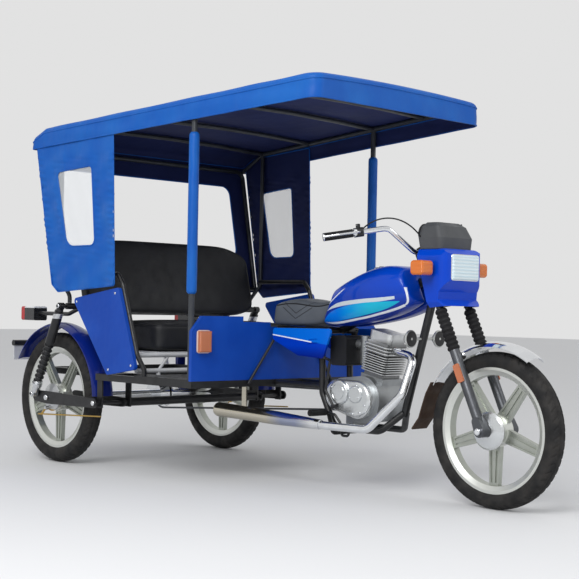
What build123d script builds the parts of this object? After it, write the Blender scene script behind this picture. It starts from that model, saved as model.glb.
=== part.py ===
from build123d import *
from math import atan2, cos, radians, sin, sqrt
import os

# Passenger tricycle: motorcycle front half, canopied bench on two rear wheels.
# Millimetres. +X forward, +Y left, +Z up, ground at Z = 0.
# The origin lies on the ground midway between bumper and front tyre.

os.makedirs("parts", exist_ok=True)

# Overall stance: the body is drawn with the rear axle at AXLE_Z and the fork's foot at FORK_Z,
# and each wheel grows away from the body, with the body lifted to suit
FORK_REACH = 2217.0
FORK_Z = 303.5
AXLE_Z = 311.0
TRACK = 1034.0
BUMPER_GAP = 89.0
FRONT_TYRE_R = 303.5
FRONT_TYRE_W = 76.0
FRONT_TYRE_H = 60.0
REAR_TYRE_R = 311.0
REAR_TYRE_W = 84.0
REAR_TYRE_H = 67.5

# Fits between neighbours
FIT = 0.3
BORE_FIT = 0.1
RUN_GAP = 5.2

# Wheels
RIM_FLANGE_H = 14.5
RIM_DEPTH = 30.5
RIM_HALF_W = 29.0
HUB_R = 62.0
HUB_HALF_W = 42.0
SPOKE_COUNT = 5
SPOKE_HUB_W = 56.0
SPOKE_RIM_W = 42.0
SPOKE_T = 22.0
SPOKE_GROOVE = 5.0
FRONT_AXLE_D = 15.0
REAR_AXLE_D = 17.0

# Steering and fork, measured along and across the raked steering axis
RAKE = 25.0
FORK_OFFSET = 40.0
FORK_HALF = 90.0
STANCHION_D = 30.0
SLIDER_D = 40.0
GAITER_TOP = 510.0
GAITER_RIBS = 9
LOWER_CLAMP_C = 548.0
LOWER_CLAMP_T = 28.0
UPPER_CLAMP_C = 716.0
UPPER_CLAMP_T = 22.0
STEM_D = 24.0
HEAD_TUBE_D = 50.0
BAR_D = 22.0
BAR_HALF = 388.0
BAR_RISE_Z = 1086.0
BAR_END_Z = 1043.0
GRIP_LEN = 122.0
FENDER_GAP = 39.5
FENDER_HALF_W = 52.0
FENDER_T = 3.5
FENDER_FRONT_DEG = 57.0
FENDER_REAR_DEG = 150.0

# Cowl and lamps
COWL_HALF_W = 122.0
COWL_T = 4.0
LENS_HALF_W = 83.0
LENS_Z = (882.0, 981.0)

# Chassis and cabin
RAIL = 30.0
RAIL_TOP = 443.0
OUTER_RAIL_Y = 560.0
INNER_RAIL_Y = 400.0
FLOOR_T = 5.0
POLE_X = 1028.0
POLE_OUT = 556.0
POLE_D = 25.0
SLEEVE_D = 46.0
SLEEVE_Z = (812.0, 1496.0)
WALL_X = 1042.0
WALL_T = 18.0
WALL_TOP = 720.0
PIVOT_X = 385.0
PIVOT_Z = 308.0
ARM_OUTER_Y = 594.0
ARM_INNER_Y = 431.0
SHOCK_Y = 618.0
TOWER_Z = 750.0
TOWER_D = 30.0
CUSHION_HALF = 436.0
CUSHION_Z = (551.0, 695.0)
BACK_HALF = 520.0
BACK_LEAN = 14.0
BACK_T = 88.0

# Canopy
ROOF_X = (-50.0, 1710.0)
ROOF_HALF = (673.0, 515.0)
ROOF_EDGE_Z = (1585.0, 1672.0)
ROOF_CROWN = 22.0
ROOF_CORNER = 60.0
VALANCE = 92.0
SKIN = 4.0
ROOF_TUBE_D = 22.0
SIDE_INSET = 20.5

GROUND = AXLE_Z - REAR_TYRE_R
REAR_GROWTH = REAR_TYRE_R - AXLE_Z
FRONT_AXLE_Z = GROUND + FRONT_TYRE_R
FRONT_GROWTH = FRONT_AXLE_Z - FORK_Z
REAR_OVERHANG = REAR_TYRE_R + REAR_GROWTH + BUMPER_GAP
LENGTH = REAR_OVERHANG + FORK_REACH + FRONT_GROWTH + FRONT_TYRE_R
REAR_X = REAR_OVERHANG - LENGTH / 2
FRONT_X = REAR_X + FORK_REACH
REAR_AXLE_X = REAR_X - REAR_GROWTH
FRONT_AXLE_X = FRONT_X + FRONT_GROWTH
HALF_TRACK = TRACK / 2
FENDER_R = FRONT_TYRE_R + FENDER_GAP
ROOF_LEN = ROOF_X[1] - ROOF_X[0]
EDGE_SLOPE = (ROOF_EDGE_Z[1] - ROOF_EDGE_Z[0]) / ROOF_LEN
HALF_SLOPE = (ROOF_HALF[1] - ROOF_HALF[0]) / ROOF_LEN
LOW = (Align.CENTER, Align.CENTER, Align.MIN)


def rear(x):
    """Station measured ahead of the rear axle's drawn place."""
    return REAR_X + x


def front(x):
    """Station measured behind the fork's foot."""
    return FRONT_X - x


def roof_half(x):
    """Half width of the roof at a station ahead of the rear axle."""
    return ROOF_HALF[0] + HALF_SLOPE * (x - ROOF_X[0])


def polar(radius, deg):
    """Point on a circle about the axle, angle up from straight ahead."""
    return (radius * cos(radians(deg)), radius * sin(radians(deg)))


def tube(points, diameter, bend=0.0):
    """Round bar along straight runs joined by tangent arcs."""
    if len(points) == 2:
        path = Line(*points)
    else:
        path = FilletPolyline(*points, radius=bend)
    section = Plane(origin=path @ 0, z_dir=path % 0) * Circle(diameter / 2)
    return sweep(section, path=path)


def cyl_y(x, z, radius, y0, y1):
    """Round bar across the machine between two widths."""
    base = Plane(origin=(x, min(y0, y1), z), x_dir=(1, 0, 0), z_dir=(0, 1, 0))
    return base * Cylinder(radius, abs(y1 - y0), align=LOW)


def plate_y(points, y0, y1, corner=0.0):
    """Flat plate drawn in side view and given a width."""
    low, high = min(y0, y1), max(y0, y1)
    face = make_face(FilletPolyline(*points, radius=corner, close=True))
    base = Plane(origin=(0, high, 0), x_dir=(1, 0, 0), z_dir=(0, -1, 0))
    return extrude(base * face, amount=high - low)


def block(x0, x1, y0, y1, z0, z1):
    """Rectangular bar between two corners."""
    size = Box(abs(x1 - x0), abs(y1 - y0), abs(z1 - z0))
    return Pos((x0 + x1) / 2, (y0 + y1) / 2, (z0 + z1) / 2) * size


def hull_y(circles, y0, y1):
    """Solid under the hull of circles drawn in side view."""
    low, high = min(y0, y1), max(y0, y1)
    edges = []
    for x, z, radius in circles:
        edges += (Pos(x, z) * Circle(radius)).edges()
    base = Plane(origin=(0, high, 0), x_dir=(1, 0, 0), z_dir=(0, -1, 0))
    return extrude(base * make_hull(edges), amount=high - low)


def ring(profile):
    """Body of revolution about the wheel axis from (radius, across) points."""
    return revolve(make_face(Polyline(*profile, close=True)), Axis.Y)


def pair(shape):
    """The piece and its mirror image on the other side."""
    return [shape, mirror(shape, about=Plane.XZ)]


def whole(shapes):
    """One welded solid from a list of solids."""
    result = shapes[0]
    for shape in shapes[1:]:
        result = result + shape
    return result


# the poles stand on the outer rails, or under the roof's side tubes where those lie further in
POLE_Y = min(POLE_OUT, roof_half(POLE_X) - SIDE_INSET)

# Wheels


def tyre_shape(radius, width, height):
    """Tyre of a section height over the rim flange, hollow, seated on the rim."""
    half = width / 2
    flange_r = radius - height
    seat_r = flange_r - RIM_FLANGE_H
    bead = (seat_r + FIT, RIM_HALF_W - 8.0)
    lip = (flange_r + 2 * FIT, RIM_HALF_W - 5.0)
    over = (flange_r + 2.5, RIM_HALF_W + 0.5)
    belly = (0.5 * (flange_r + radius) + 1.0, half)
    shoulder = (radius - 13.0, 0.68 * half)
    inner = (seat_r + FIT, RIM_HALF_W - 19.0)
    cavity = (flange_r + 9.0, 0.6 * half)

    def left(p):
        return (p[0], -p[1])

    edges = [
        Line(inner, bead),
        Line(bead, lip),
        Line(lip, over),
        ThreePointArc(over, belly, shoulder),
        ThreePointArc(shoulder, (radius, 0), left(shoulder)),
        ThreePointArc(left(shoulder), left(belly), left(over)),
        Line(left(over), left(lip)),
        Line(left(lip), left(bead)),
        Line(left(bead), left(inner)),
        Line(left(inner), left(cavity)),
        ThreePointArc(left(cavity), (radius - 12.0, 0), cavity),
        Line(cavity, inner),
    ]
    return revolve(make_face(edges), Axis.Y)


def rim_shape(axle_d, flange_r):
    """Cast wheel: rim, hub and grooved spokes."""
    seat_r = flange_r - RIM_FLANGE_H
    inner_r = flange_r - RIM_DEPTH
    outline = [
        (flange_r, RIM_HALF_W),
        (flange_r, RIM_HALF_W - 4),
        (seat_r, RIM_HALF_W - 7),
        (seat_r - 2, 12),
        (seat_r - 8, 8),
    ]
    lower = [(r, -w) for r, w in reversed(outline)]
    inside = [
        (flange_r - 11, -RIM_HALF_W),
        (inner_r, -18),
        (inner_r, 18),
        (flange_r - 11, RIM_HALF_W),
    ]
    body = ring(outline + lower + inside)
    bore = axle_d / 2 + BORE_FIT
    hub = ring([
        (bore, -HUB_HALF_W),
        (30, -HUB_HALF_W),
        (HUB_R, -26),
        (HUB_R, 26),
        (30, HUB_HALF_W),
        (bore, HUB_HALF_W),
    ])
    half_hub, half_rim = SPOKE_HUB_W / 2, SPOKE_RIM_W / 2
    r0, r1 = HUB_R - 12, inner_r + 4
    spoke = plate_y(
        [(r0, -half_hub), (r1, -half_rim), (r1, half_rim), (r0, half_hub)],
        -SPOKE_T / 2, SPOKE_T / 2,
    )
    for side in (-1, 1):
        for face in (-1, 1):
            y0 = face * (SPOKE_T / 2 - SPOKE_GROOVE)
            y1 = face * (SPOKE_T / 2 + 1)
            spoke = spoke - plate_y(
                [
                    (HUB_R + 14, side * 0.14 * SPOKE_HUB_W),
                    (inner_r - 12, side * 0.14 * SPOKE_RIM_W),
                    (inner_r - 12, side * 0.34 * SPOKE_RIM_W),
                    (HUB_R + 14, side * 0.34 * SPOKE_HUB_W),
                ],
                y0, y1,
            )
    spokes = [Rot(0, 90 + i * 360 / SPOKE_COUNT, 0) * spoke for i in range(SPOKE_COUNT)]
    return whole([body, hub] + spokes)


FRONT_AXLE = Pos(FRONT_AXLE_X, 0, FRONT_AXLE_Z)
front_tyre = FRONT_AXLE * tyre_shape(FRONT_TYRE_R, FRONT_TYRE_W, FRONT_TYRE_H)
front_rim = FRONT_AXLE * rim_shape(FRONT_AXLE_D, FRONT_TYRE_R - FRONT_TYRE_H)
rear_tyre = tyre_shape(REAR_TYRE_R, REAR_TYRE_W, REAR_TYRE_H)
rear_rim = rim_shape(REAR_AXLE_D, REAR_TYRE_R - REAR_TYRE_H)
REAR_RIGHT = Pos(REAR_AXLE_X, -HALF_TRACK, AXLE_Z)
REAR_LEFT = Pos(REAR_AXLE_X, HALF_TRACK, AXLE_Z)

# Fork and steering

FORK = Plane(
    origin=(FRONT_X, 0, FORK_Z),
    x_dir=(cos(radians(RAKE)), 0, sin(radians(RAKE))),
    z_dir=(-sin(radians(RAKE)), 0, cos(radians(RAKE))),
)


def on_fork(a, b, c):
    """World point from fork coordinates: ahead of legs, left, along the legs."""
    return (
        FRONT_X + a * cos(radians(RAKE)) - c * sin(radians(RAKE)),
        b,
        FORK_Z + a * sin(radians(RAKE)) + c * cos(radians(RAKE)),
    )


LUG_R = 23.0
LUG_RUN = 40.0
SLIDER_OVER = 23.0
fender_edge = FENDER_R - 21
axle_a = FRONT_GROWTH * (cos(radians(RAKE)) + sin(radians(RAKE)))
axle_c = FRONT_GROWTH * (cos(radians(RAKE)) - sin(radians(RAKE)))
bracket_c = axle_c + sqrt((fender_edge - 10) ** 2 - axle_a ** 2)
SLIDER_TOP = bracket_c + SLIDER_OVER
LUG_IN = FORK_HALF - SLIDER_D / 2
LUG_OUT = FORK_HALF + SLIDER_D / 2 + 1
slider = FORK * (Pos(0, -FORK_HALF, -12) * Cylinder(SLIDER_D / 2, SLIDER_TOP + 12, align=LOW))
lug_top = on_fork(0, 0, LUG_RUN)
lug = [(FRONT_AXLE_X, FRONT_AXLE_Z, LUG_R), (lug_top[0], lug_top[2], 0.8 * LUG_R)]
slider = slider + hull_y(lug, -LUG_OUT, -LUG_IN)
lug_bore = FRONT_AXLE_D / 2 + BORE_FIT
slider = slider - cyl_y(FRONT_AXLE_X, FRONT_AXLE_Z, lug_bore, -LUG_OUT - 30, -LUG_IN + 30)

PLATE_IN = HUB_HALF_W + RUN_GAP
front_axle = whole([
    cyl_y(FRONT_AXLE_X, FRONT_AXLE_Z, FRONT_AXLE_D / 2, -LUG_OUT - 16, LUG_OUT + 16),
    cyl_y(FRONT_AXLE_X, FRONT_AXLE_Z, 13, -LUG_OUT - 10, -LUG_OUT - FIT),
    cyl_y(FRONT_AXLE_X, FRONT_AXLE_Z, 13, LUG_OUT + FIT, LUG_OUT + 10),
    cyl_y(FRONT_AXLE_X, FRONT_AXLE_Z, 15, PLATE_IN, LUG_IN - FIT),
])
plate_bore = FRONT_AXLE_D / 2 + BORE_FIT
front_brake_plate = FRONT_AXLE * ring([
    (plate_bore, -PLATE_IN),
    (72, -PLATE_IN),
    (74, -PLATE_IN - 3),
    (66, -PLATE_IN - 10),
    (26, -PLATE_IN - 19),
    (plate_bore, -PLATE_IN - 19),
])

rib = (GAITER_TOP - SLIDER_TOP - FIT) / GAITER_RIBS
gaiter_outline = [(STANCHION_D / 2 + FIT, SLIDER_TOP + FIT)]
for i in range(GAITER_RIBS):
    base = SLIDER_TOP + FIT + i * rib
    gaiter_outline += [(20.0, base), (24.5, base + 0.35 * rib), (24.5, base + 0.65 * rib)]
gaiter_outline += [(20.0, GAITER_TOP), (STANCHION_D / 2 + FIT, GAITER_TOP)]
gaiter_face = Plane.XZ * make_face(Polyline(*gaiter_outline, close=True))
gaiter = FORK * (Pos(0, -FORK_HALF, 0) * revolve(gaiter_face, Axis.Z))


def clamp(c, thickness):
    """Fork clamp: two leg bosses and the stem boss under one hull."""
    rounds = [
        Pos(0, -FORK_HALF) * Circle(22),
        Pos(0, FORK_HALF) * Circle(22),
        Pos(-FORK_OFFSET, 0) * Circle(28),
    ]
    edges = [edge for item in rounds for edge in item.edges()]
    return FORK * (Pos(0, 0, c) * extrude(make_hull(edges), amount=thickness))


UPPER_TOP = UPPER_CLAMP_C + UPPER_CLAMP_T
BAR_A = -51.0
BAR_C = UPPER_TOP + 49.0
HEAD_LOW = LOWER_CLAMP_C + LOWER_CLAMP_T + RUN_GAP
HEAD_HIGH = UPPER_CLAMP_C - RUN_GAP
leg_len = UPPER_TOP + 6 - SLIDER_TOP
stanchions = [
    FORK * (Pos(0, side * FORK_HALF, SLIDER_TOP) * Cylinder(STANCHION_D / 2, leg_len, align=LOW))
    for side in (-1, 1)
]
stem_len = UPPER_TOP - LOWER_CLAMP_C
stem = FORK * (Pos(-FORK_OFFSET, 0, LOWER_CLAMP_C) * Cylinder(STEM_D / 2, stem_len, align=LOW))
BEARING_R = 16.0
bearings = [
    FORK * (Pos(-FORK_OFFSET, 0, c) * Cylinder(BEARING_R, 18, align=LOW))
    for c in (HEAD_LOW, HEAD_HIGH - 18)
]
risers = []
for side in (-1, 1):
    post = Pos(BAR_A, side * 34, (UPPER_TOP + BAR_C + 16) / 2 - 3)
    risers.append(FORK * (post * Box(32, 18, BAR_C + 16 - UPPER_TOP + 6)))
bar_bore = FORK * (Pos(BAR_A, 0, BAR_C) * Rot(90, 0, 0) * Cylinder(BAR_D / 2 + BORE_FIT, 200))
fork_crown = whole(
    [clamp(LOWER_CLAMP_C, LOWER_CLAMP_T), clamp(UPPER_CLAMP_C, UPPER_CLAMP_T), stem]
    + bearings + stanchions + risers
) - bar_bore

bar_mid = on_fork(BAR_A, 0, BAR_C)
BAR_BEND = (front(414), 185.0, BAR_RISE_Z)
BAR_END = (front(579), BAR_HALF, BAR_END_Z)
bar_path = [
    (BAR_END[0], -BAR_END[1], BAR_END[2]),
    (BAR_BEND[0], -BAR_BEND[1], BAR_BEND[2]),
    (bar_mid[0], -64, bar_mid[2]),
    (bar_mid[0], 64, bar_mid[2]),
    BAR_BEND,
    BAR_END,
]
handlebar = tube(bar_path, BAR_D, 45)

run = Vector(BAR_END[0], -BAR_END[1], BAR_END[2]) - Vector(BAR_BEND[0], -BAR_BEND[1], BAR_BEND[2])
GRIP_RUN = run.length
outward = run.normalized()
GRIP = Plane(
    origin=(BAR_BEND[0], -BAR_BEND[1], BAR_BEND[2]),
    x_dir=outward.cross(Vector(0, 0, -1)).normalized(),
    z_dir=outward,
)


def sleeve(start, length, outer, inner):
    """Hollow round slipped over the bar, measured from the bar's bend."""
    body = Pos(0, 0, start) * Cylinder(outer, length, align=LOW)
    return body - Pos(0, 0, start - 1) * Cylinder(inner, length + 2, align=LOW)


grip_in = BAR_D / 2 + BORE_FIT
GRIP_START = GRIP_RUN - GRIP_LEN
grip = GRIP * sleeve(GRIP_START, GRIP_LEN - 6, 16.5, grip_in)
PERCH_START = GRIP_START - 42
perch = sleeve(PERCH_START, 38, 19, grip_in)
lever_path = [
    (18, 0, PERCH_START + 12),
    (46, 0, PERCH_START + 26),
    (54, 0, GRIP_RUN - 60),
    (44, 0, GRIP_RUN - 2),
]
BOSS_R = 9.0
BOSS_H = 16.0
MIRROR_R = 4.4
MIRROR_TILT = 14.0
boss = Pos(0, 0, PERCH_START + 19) * Rot(0, 0, -MIRROR_TILT) * Rot(-90, 0, 0)
boss_out = boss * Pos(0, 0, 17) * Cylinder(BOSS_R, BOSS_H, align=LOW)
boss_hole = boss * Pos(0, 0, 21) * Cylinder(MIRROR_R, BOSS_H, align=LOW)
lever = GRIP * (whole([perch, tube(lever_path, 9, 14), boss_out]) - boss_hole)

fender_face = make_face([
    ThreePointArc((fender_edge, -FENDER_HALF_W), (FENDER_R, 0), (fender_edge, FENDER_HALF_W)),
    Line((fender_edge, FENDER_HALF_W), (fender_edge - FENDER_T, FENDER_HALF_W)),
    ThreePointArc(
        (fender_edge - FENDER_T, FENDER_HALF_W), (FENDER_R - FENDER_T, 0),
        (fender_edge - FENDER_T, -FENDER_HALF_W),
    ),
    Line((fender_edge - FENDER_T, -FENDER_HALF_W), (fender_edge, -FENDER_HALF_W)),
])
fender_arc = revolve(fender_face, Axis.Y, revolution_arc=FENDER_REAR_DEG - FENDER_FRONT_DEG)
front_fender = FRONT_AXLE * (Rot(0, -FENDER_REAR_DEG, 0) * fender_arc)
for side in (-1, 1):
    inner_y = side * (FENDER_HALF_W - 4)
    outer_y = side * (FORK_HALF - SLIDER_D / 2 - FIT)
    at = on_fork(0, 0, bracket_c)
    front_fender = front_fender + cyl_y(at[0], at[2], 15, inner_y, outer_y)

flap_top = FENDER_REAR_DEG + 0.06
flap_points = [
    polar(FENDER_R - 1, flap_top),
    polar(FENDER_R + 3, FENDER_REAR_DEG + 9),
    polar(FENDER_R + 6, FENDER_REAR_DEG + 18),
    polar(FENDER_R + 15, FENDER_REAR_DEG + 26),
    polar(FENDER_R + 50, FENDER_REAR_DEG + 33),
    polar(FENDER_R + 47, FENDER_REAR_DEG + 33.8),
    polar(FENDER_R + 10, FENDER_REAR_DEG + 26.6),
    polar(FENDER_R + 1, FENDER_REAR_DEG + 18),
    polar(FENDER_R - 2, FENDER_REAR_DEG + 9),
    polar(FENDER_R - 5, flap_top),
]
front_flap = FRONT_AXLE * plate_y(flap_points, -46, 46)

# Headlamp cowl: common part of a side view, a front view and a plan.
# Side view as (behind the fork's foot, height), front view as (half width, height)
COWL_SIDE = [
    (324, 1005), (197, 1005), (171, 985), (171, 878), (202, 835), (205, 806), (172, 780), (255, 772),
]
COWL_VOID = [
    (380, 1001), (198, 1001), (175, 983), (175, 880), (206, 837), (209, 805), (177, 779),
    (177, 740), (380, 740),
]
COWL_FRONT = [(0.82 * COWL_HALF_W, 1005), (COWL_HALF_W, 975), (COWL_HALF_W, 794), (0.7 * COWL_HALF_W, 736)]
COWL_NOSE = 171.0
COWL_CORNER = 40.0


def cowl_solid(side_view, inset):
    """Cowl volume from a side view, its front view and plan drawn in by an inset."""
    right = [(y, z) for y, z in COWL_FRONT]
    left = [(-y, z) for y, z in reversed(COWL_FRONT)]
    front_face = make_face(FilletPolyline(*(right + left), radius=22, close=True))
    half = COWL_HALF_W - inset
    nose = front(COWL_NOSE + inset)
    plan = make_face(FilletPolyline(
        (front(420), -half), (nose, -half), (nose, half), (front(420), half),
        radius=[10, COWL_CORNER - inset, COWL_CORNER - inset, 10], close=True,
    ))
    if inset:
        front_face = offset(front_face, -inset)
    across = Plane(origin=(front(420), 0, 0), x_dir=(0, 1, 0), z_dir=(1, 0, 0))
    prism = extrude(across * front_face, amount=300)
    column = extrude(Pos(0, 0, 700) * plan, amount=400)
    return plate_y([(front(x), z) for x, z in side_view], -COWL_HALF_W, COWL_HALF_W) & prism & column


inner_half = COWL_HALF_W - COWL_T
cowl = cowl_solid(COWL_SIDE, 0.0) - cowl_solid(COWL_VOID, COWL_T)
cowl = cowl - block(front(150), front(182), -LENS_HALF_W, LENS_HALF_W, LENS_Z[0], LENS_Z[1])
EAR_C = 655.0
ear_at = on_fork(0, 0, EAR_C)
for side in (-1, 1):
    ear_y = side * (FORK_HALF + STANCHION_D / 2 + FIT)
    cowl = cowl + cyl_y(ear_at[0], ear_at[2], 12, ear_y, side * (inner_half + 1))

lens_half = LENS_HALF_W - FIT
lens = block(front(162), front(196), -lens_half, lens_half, LENS_Z[0] + FIT, LENS_Z[1] - FIT)
headlight_lens = fillet(lens.edges().group_by(Axis.X)[-1], 8)

lamp_y = COWL_HALF_W + FIT
turn_lamp = block(front(280), front(214), -lamp_y - 84, -lamp_y - 22, 898, 956)
turn_lamp = fillet(turn_lamp.edges().filter_by(Axis.Y), 14)
turn_lamp = fillet(turn_lamp.edges().group_by(Axis.Y)[0], 10)
turn_lamp = turn_lamp + cyl_y(front(245), 928, 9, -lamp_y - 30, -lamp_y)

# height, centre behind the fork's foot, length, width and corner of each hood section
HOOD_SECTIONS = [
    (1005.0 + FIT, 270, 118, 196, 18),
    (1050.0, 272, 130, 208, 24),
    (1096.0, 280, 104, 180, 24),
    (1112.0, 286, 66, 144, 20),
]
hood_faces = [
    Pos(front(centre), 0, height) * RectangleRounded(length, width, corner)
    for height, centre, length, width, corner in HOOD_SECTIONS
]
instrument_hood = loft(hood_faces, ruled=True)

REFLECTOR_T = 6.0
reflector_b = -FORK_HALF - SLIDER_D / 2 - REFLECTOR_T / 2 - FIT
reflector = FORK * (Pos(0, reflector_b, 240) * Box(30, REFLECTOR_T, 74))
reflector = fillet(reflector.edges().filter_by(Axis.Y), 6)

# Motorcycle frame


def frame_side(side):
    """Cradle, upright and seat rail of one side."""
    cradle = [
        (front(837), side * 85, 674),
        (front(870), side * 85, 560),
        (front(865), side * 85, 400),
        (front(800), side * 75, 258),
        (front(535), side * 75, 258),
        (front(468), side * 10, 335),
    ]
    stay_low = (rear(WALL_X) + WALL_T + 8, side * 260, RAIL_TOP - 16)
    stay_high = (rear(WALL_X) + WALL_T + 20, side * 92, 660)
    return [
        tube(cradle, 28, 45),
        tube([(front(832), side * 86, 668), (rear(WALL_X) + WALL_T + 12, side * 86, 668)], 26),
        tube([(front(862), side * 84, RAIL_TOP - 15), (rear(WALL_X) + WALL_T, side * 84, RAIL_TOP - 15)], 24),
        tube([stay_low, stay_high], 12),
    ]


BACKBONE_D = 36.0
backbone_head = on_fork(-FORK_OFFSET, 0, 680)
backbone_tail = (front(837), 0, 668)
down_head = on_fork(-FORK_OFFSET, 0, 648)
down_foot = (front(470), 0, 325)
head_tube = FORK * (
    Pos(-FORK_OFFSET, 0, HEAD_LOW) * Cylinder(HEAD_TUBE_D / 2, HEAD_HIGH - HEAD_LOW, align=LOW)
)
head_bore = FORK * (
    Pos(-FORK_OFFSET, 0, HEAD_LOW - 5) * Cylinder(BEARING_R + FIT, HEAD_HIGH - HEAD_LOW + 10, align=LOW)
)
bike_frame = whole(
    [
        head_tube,
        tube([backbone_head, backbone_tail], BACKBONE_D),
        tube([down_head, down_foot], 34),
        cyl_y(front(839), 666, 12, -92, 92),
    ]
    + frame_side(-1) + frame_side(1)
) - head_bore

# Engine

CASE_HALF = 95.0
GEAR_AT = (front(738), 400.0)
CRANK_AT = (front(625), 385.0)
CYL_TILT = 12.0
CYL_BASE = (front(602), 484.0)


CYL = Plane(
    origin=(CYL_BASE[0], 0, CYL_BASE[1]),
    x_dir=(cos(radians(CYL_TILT)), 0, -sin(radians(CYL_TILT))),
    z_dir=(sin(radians(CYL_TILT)), 0, cos(radians(CYL_TILT))),
)
case_rounds = [GEAR_AT + (70,), CRANK_AT + (98,)]
engine_case = hull_y(case_rounds, -CASE_HALF, CASE_HALF)
engine_case = engine_case + CYL * (Pos(0, 0, -60) * Box(124, 120, 60, align=LOW))
mount_half = 75 - 14 - FIT
engine_case = engine_case + block(front(745), front(700), -mount_half, mount_half, 250, 330)

FIN_COUNT = 8
FIN_PITCH = 10.0
FIN_T = 3.6
barrel = [CYL * Cylinder(46, 96, align=LOW), CYL * Box(104, 108, 12, align=LOW)]
for i in range(FIN_COUNT):
    fin = RectangleRounded(136, 142, 18)
    barrel.append(CYL * (Pos(0, 0, 18 + i * FIN_PITCH) * extrude(fin, amount=FIN_T)))
head_block = CYL * (Pos(0, 0, 96) * Box(112, 120, 50, align=LOW))
cover_top = CYL * (Pos(-4, 0, 146) * extrude(RectangleRounded(124, 104, 20), amount=42))
head_fins = [
    CYL * (Pos(0, 0, 104 + i * 13) * extrude(RectangleRounded(140, 146, 18), amount=4))
    for i in range(3)
]
engine_cylinder = whole(barrel + [head_block, cover_top] + head_fins)

clutch = hull_y([GEAR_AT + (66,), CRANK_AT + (80,)], -CASE_HALF - 42, -CASE_HALF)
clutch = fillet(clutch.edges().group_by(Axis.Y)[0], 16)
DISC_AT = (front(712), 412.0)
DISC_R = 52.0
FILTER_AT = (front(622), 408.0)
FILTER_R = 36.0
clutch_disc = cyl_y(DISC_AT[0], DISC_AT[1], DISC_R, -CASE_HALF - 54, -CASE_HALF - 40)
clutch_disc = fillet(clutch_disc.edges().group_by(Axis.Y)[0], 8)
disc_groove = cyl_y(DISC_AT[0], DISC_AT[1], 36, -CASE_HALF - 60, -CASE_HALF - 51)
disc_boss = cyl_y(DISC_AT[0], DISC_AT[1], 30, -CASE_HALF - 54, -CASE_HALF - 50)
filter_cap = cyl_y(FILTER_AT[0], FILTER_AT[1], FILTER_R, -CASE_HALF - 50, -CASE_HALF - 40)
filter_cap = fillet(filter_cap.edges().group_by(Axis.Y)[0], 5)
right_cover = whole([clutch, clutch_disc - disc_groove, disc_boss, filter_cap])
generator = cyl_y(CRANK_AT[0], CRANK_AT[1], 80, CASE_HALF, CASE_HALF + 40)
generator = fillet(generator.edges().group_by(Axis.Y)[-1], 16)
engine_covers = [right_cover, generator]

HEAD_BACK = CYL_BASE[0] + 118 * sin(radians(CYL_TILT)) - 73 * cos(radians(CYL_TILT))
AIR_X = (front(844) + 15, front(735))
air_box = block(AIR_X[0], AIR_X[1], -78, 78, 520, 648)
air_box = fillet(air_box.edges().filter_by(Axis.Y), 18)
carb_z = CYL_BASE[1] + 128
carb = Plane(origin=(AIR_X[1] + FIT, 0, carb_z), x_dir=(0, 1, 0), z_dir=(1, 0, 0))
carb_len = HEAD_BACK - AIR_X[1] - 2 * FIT
carburettor = whole([
    carb * Cylinder(22, carb_len, align=LOW),
    Pos(AIR_X[1] + carb_len / 2, 0, carb_z - 82) * Cylinder(25, 118, align=LOW),
])

PIPE_D = 34.0
header_path = [
    (CYL_BASE[0] + 103, -26, 590),
    (front(385), -46, 572),
    (front(388), -112, 420),
    (front(520), -172, 272),
    (front(700), -222, 276),
    (front(760), -226, 280),
]
header = tube(header_path, PIPE_D, 48)
MUFFLER_HEAD = Vector(front(735), -224.5, 278.5)
MUFFLER_TAIL = Vector(rear(850), -246, 301)
MUFFLER_R = 32.0
muffler_run = MUFFLER_TAIL - MUFFLER_HEAD
MUFFLER = Plane(origin=MUFFLER_HEAD, z_dir=muffler_run.normalized())
reach = muffler_run.length
muffler_face = Plane.XZ * make_face(Polyline(
    (0, 0), (21, 0), (0.92 * MUFFLER_R, 0.4 * reach), (MUFFLER_R, reach - 8),
    (MUFFLER_R - 3, reach), (MUFFLER_R - 9, reach), (MUFFLER_R - 9, reach - 30), (0, reach - 30),
    close=True,
))
exhaust = header + MUFFLER * revolve(muffler_face, Axis.Z)
hanger_x = rear(WALL_X) - 20
hanger_t = (MUFFLER_HEAD.X - hanger_x) / (MUFFLER_HEAD.X - MUFFLER_TAIL.X)
hanger_y = MUFFLER_HEAD.Y + hanger_t * (MUFFLER_TAIL.Y - MUFFLER_HEAD.Y)
hanger_z = MUFFLER_HEAD.Z + hanger_t * (MUFFLER_TAIL.Z - MUFFLER_HEAD.Z)
exhaust = exhaust + block(
    hanger_x - 14, hanger_x + 14, hanger_y - 3, hanger_y + 3, hanger_z, RAIL_TOP - RAIL - FIT,
)

# Tank, seat and side covers

# station behind the front axle, half width, bottom, top, corner radius
TANK_STATIONS = [
    (884, 86, 694, 794, 36),
    (772, 118, 686, 860, 58),
    (640, 138, 702, 914, 74),
    (500, 142, 730, 942, 78),
    (400, 128, 764, 926, 66),
    (340, 92, 800, 890, 40),
]
tank_sections = []
for station, half, low_z, high_z, corner in TANK_STATIONS:
    at = Plane(origin=(front(station), 0, (low_z + high_z) / 2), x_dir=(0, 1, 0), z_dir=(1, 0, 0))
    tank_sections.append(at * RectangleRounded(2 * half, high_z - low_z, corner))
fuel_tank = loft(tank_sections)
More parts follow.
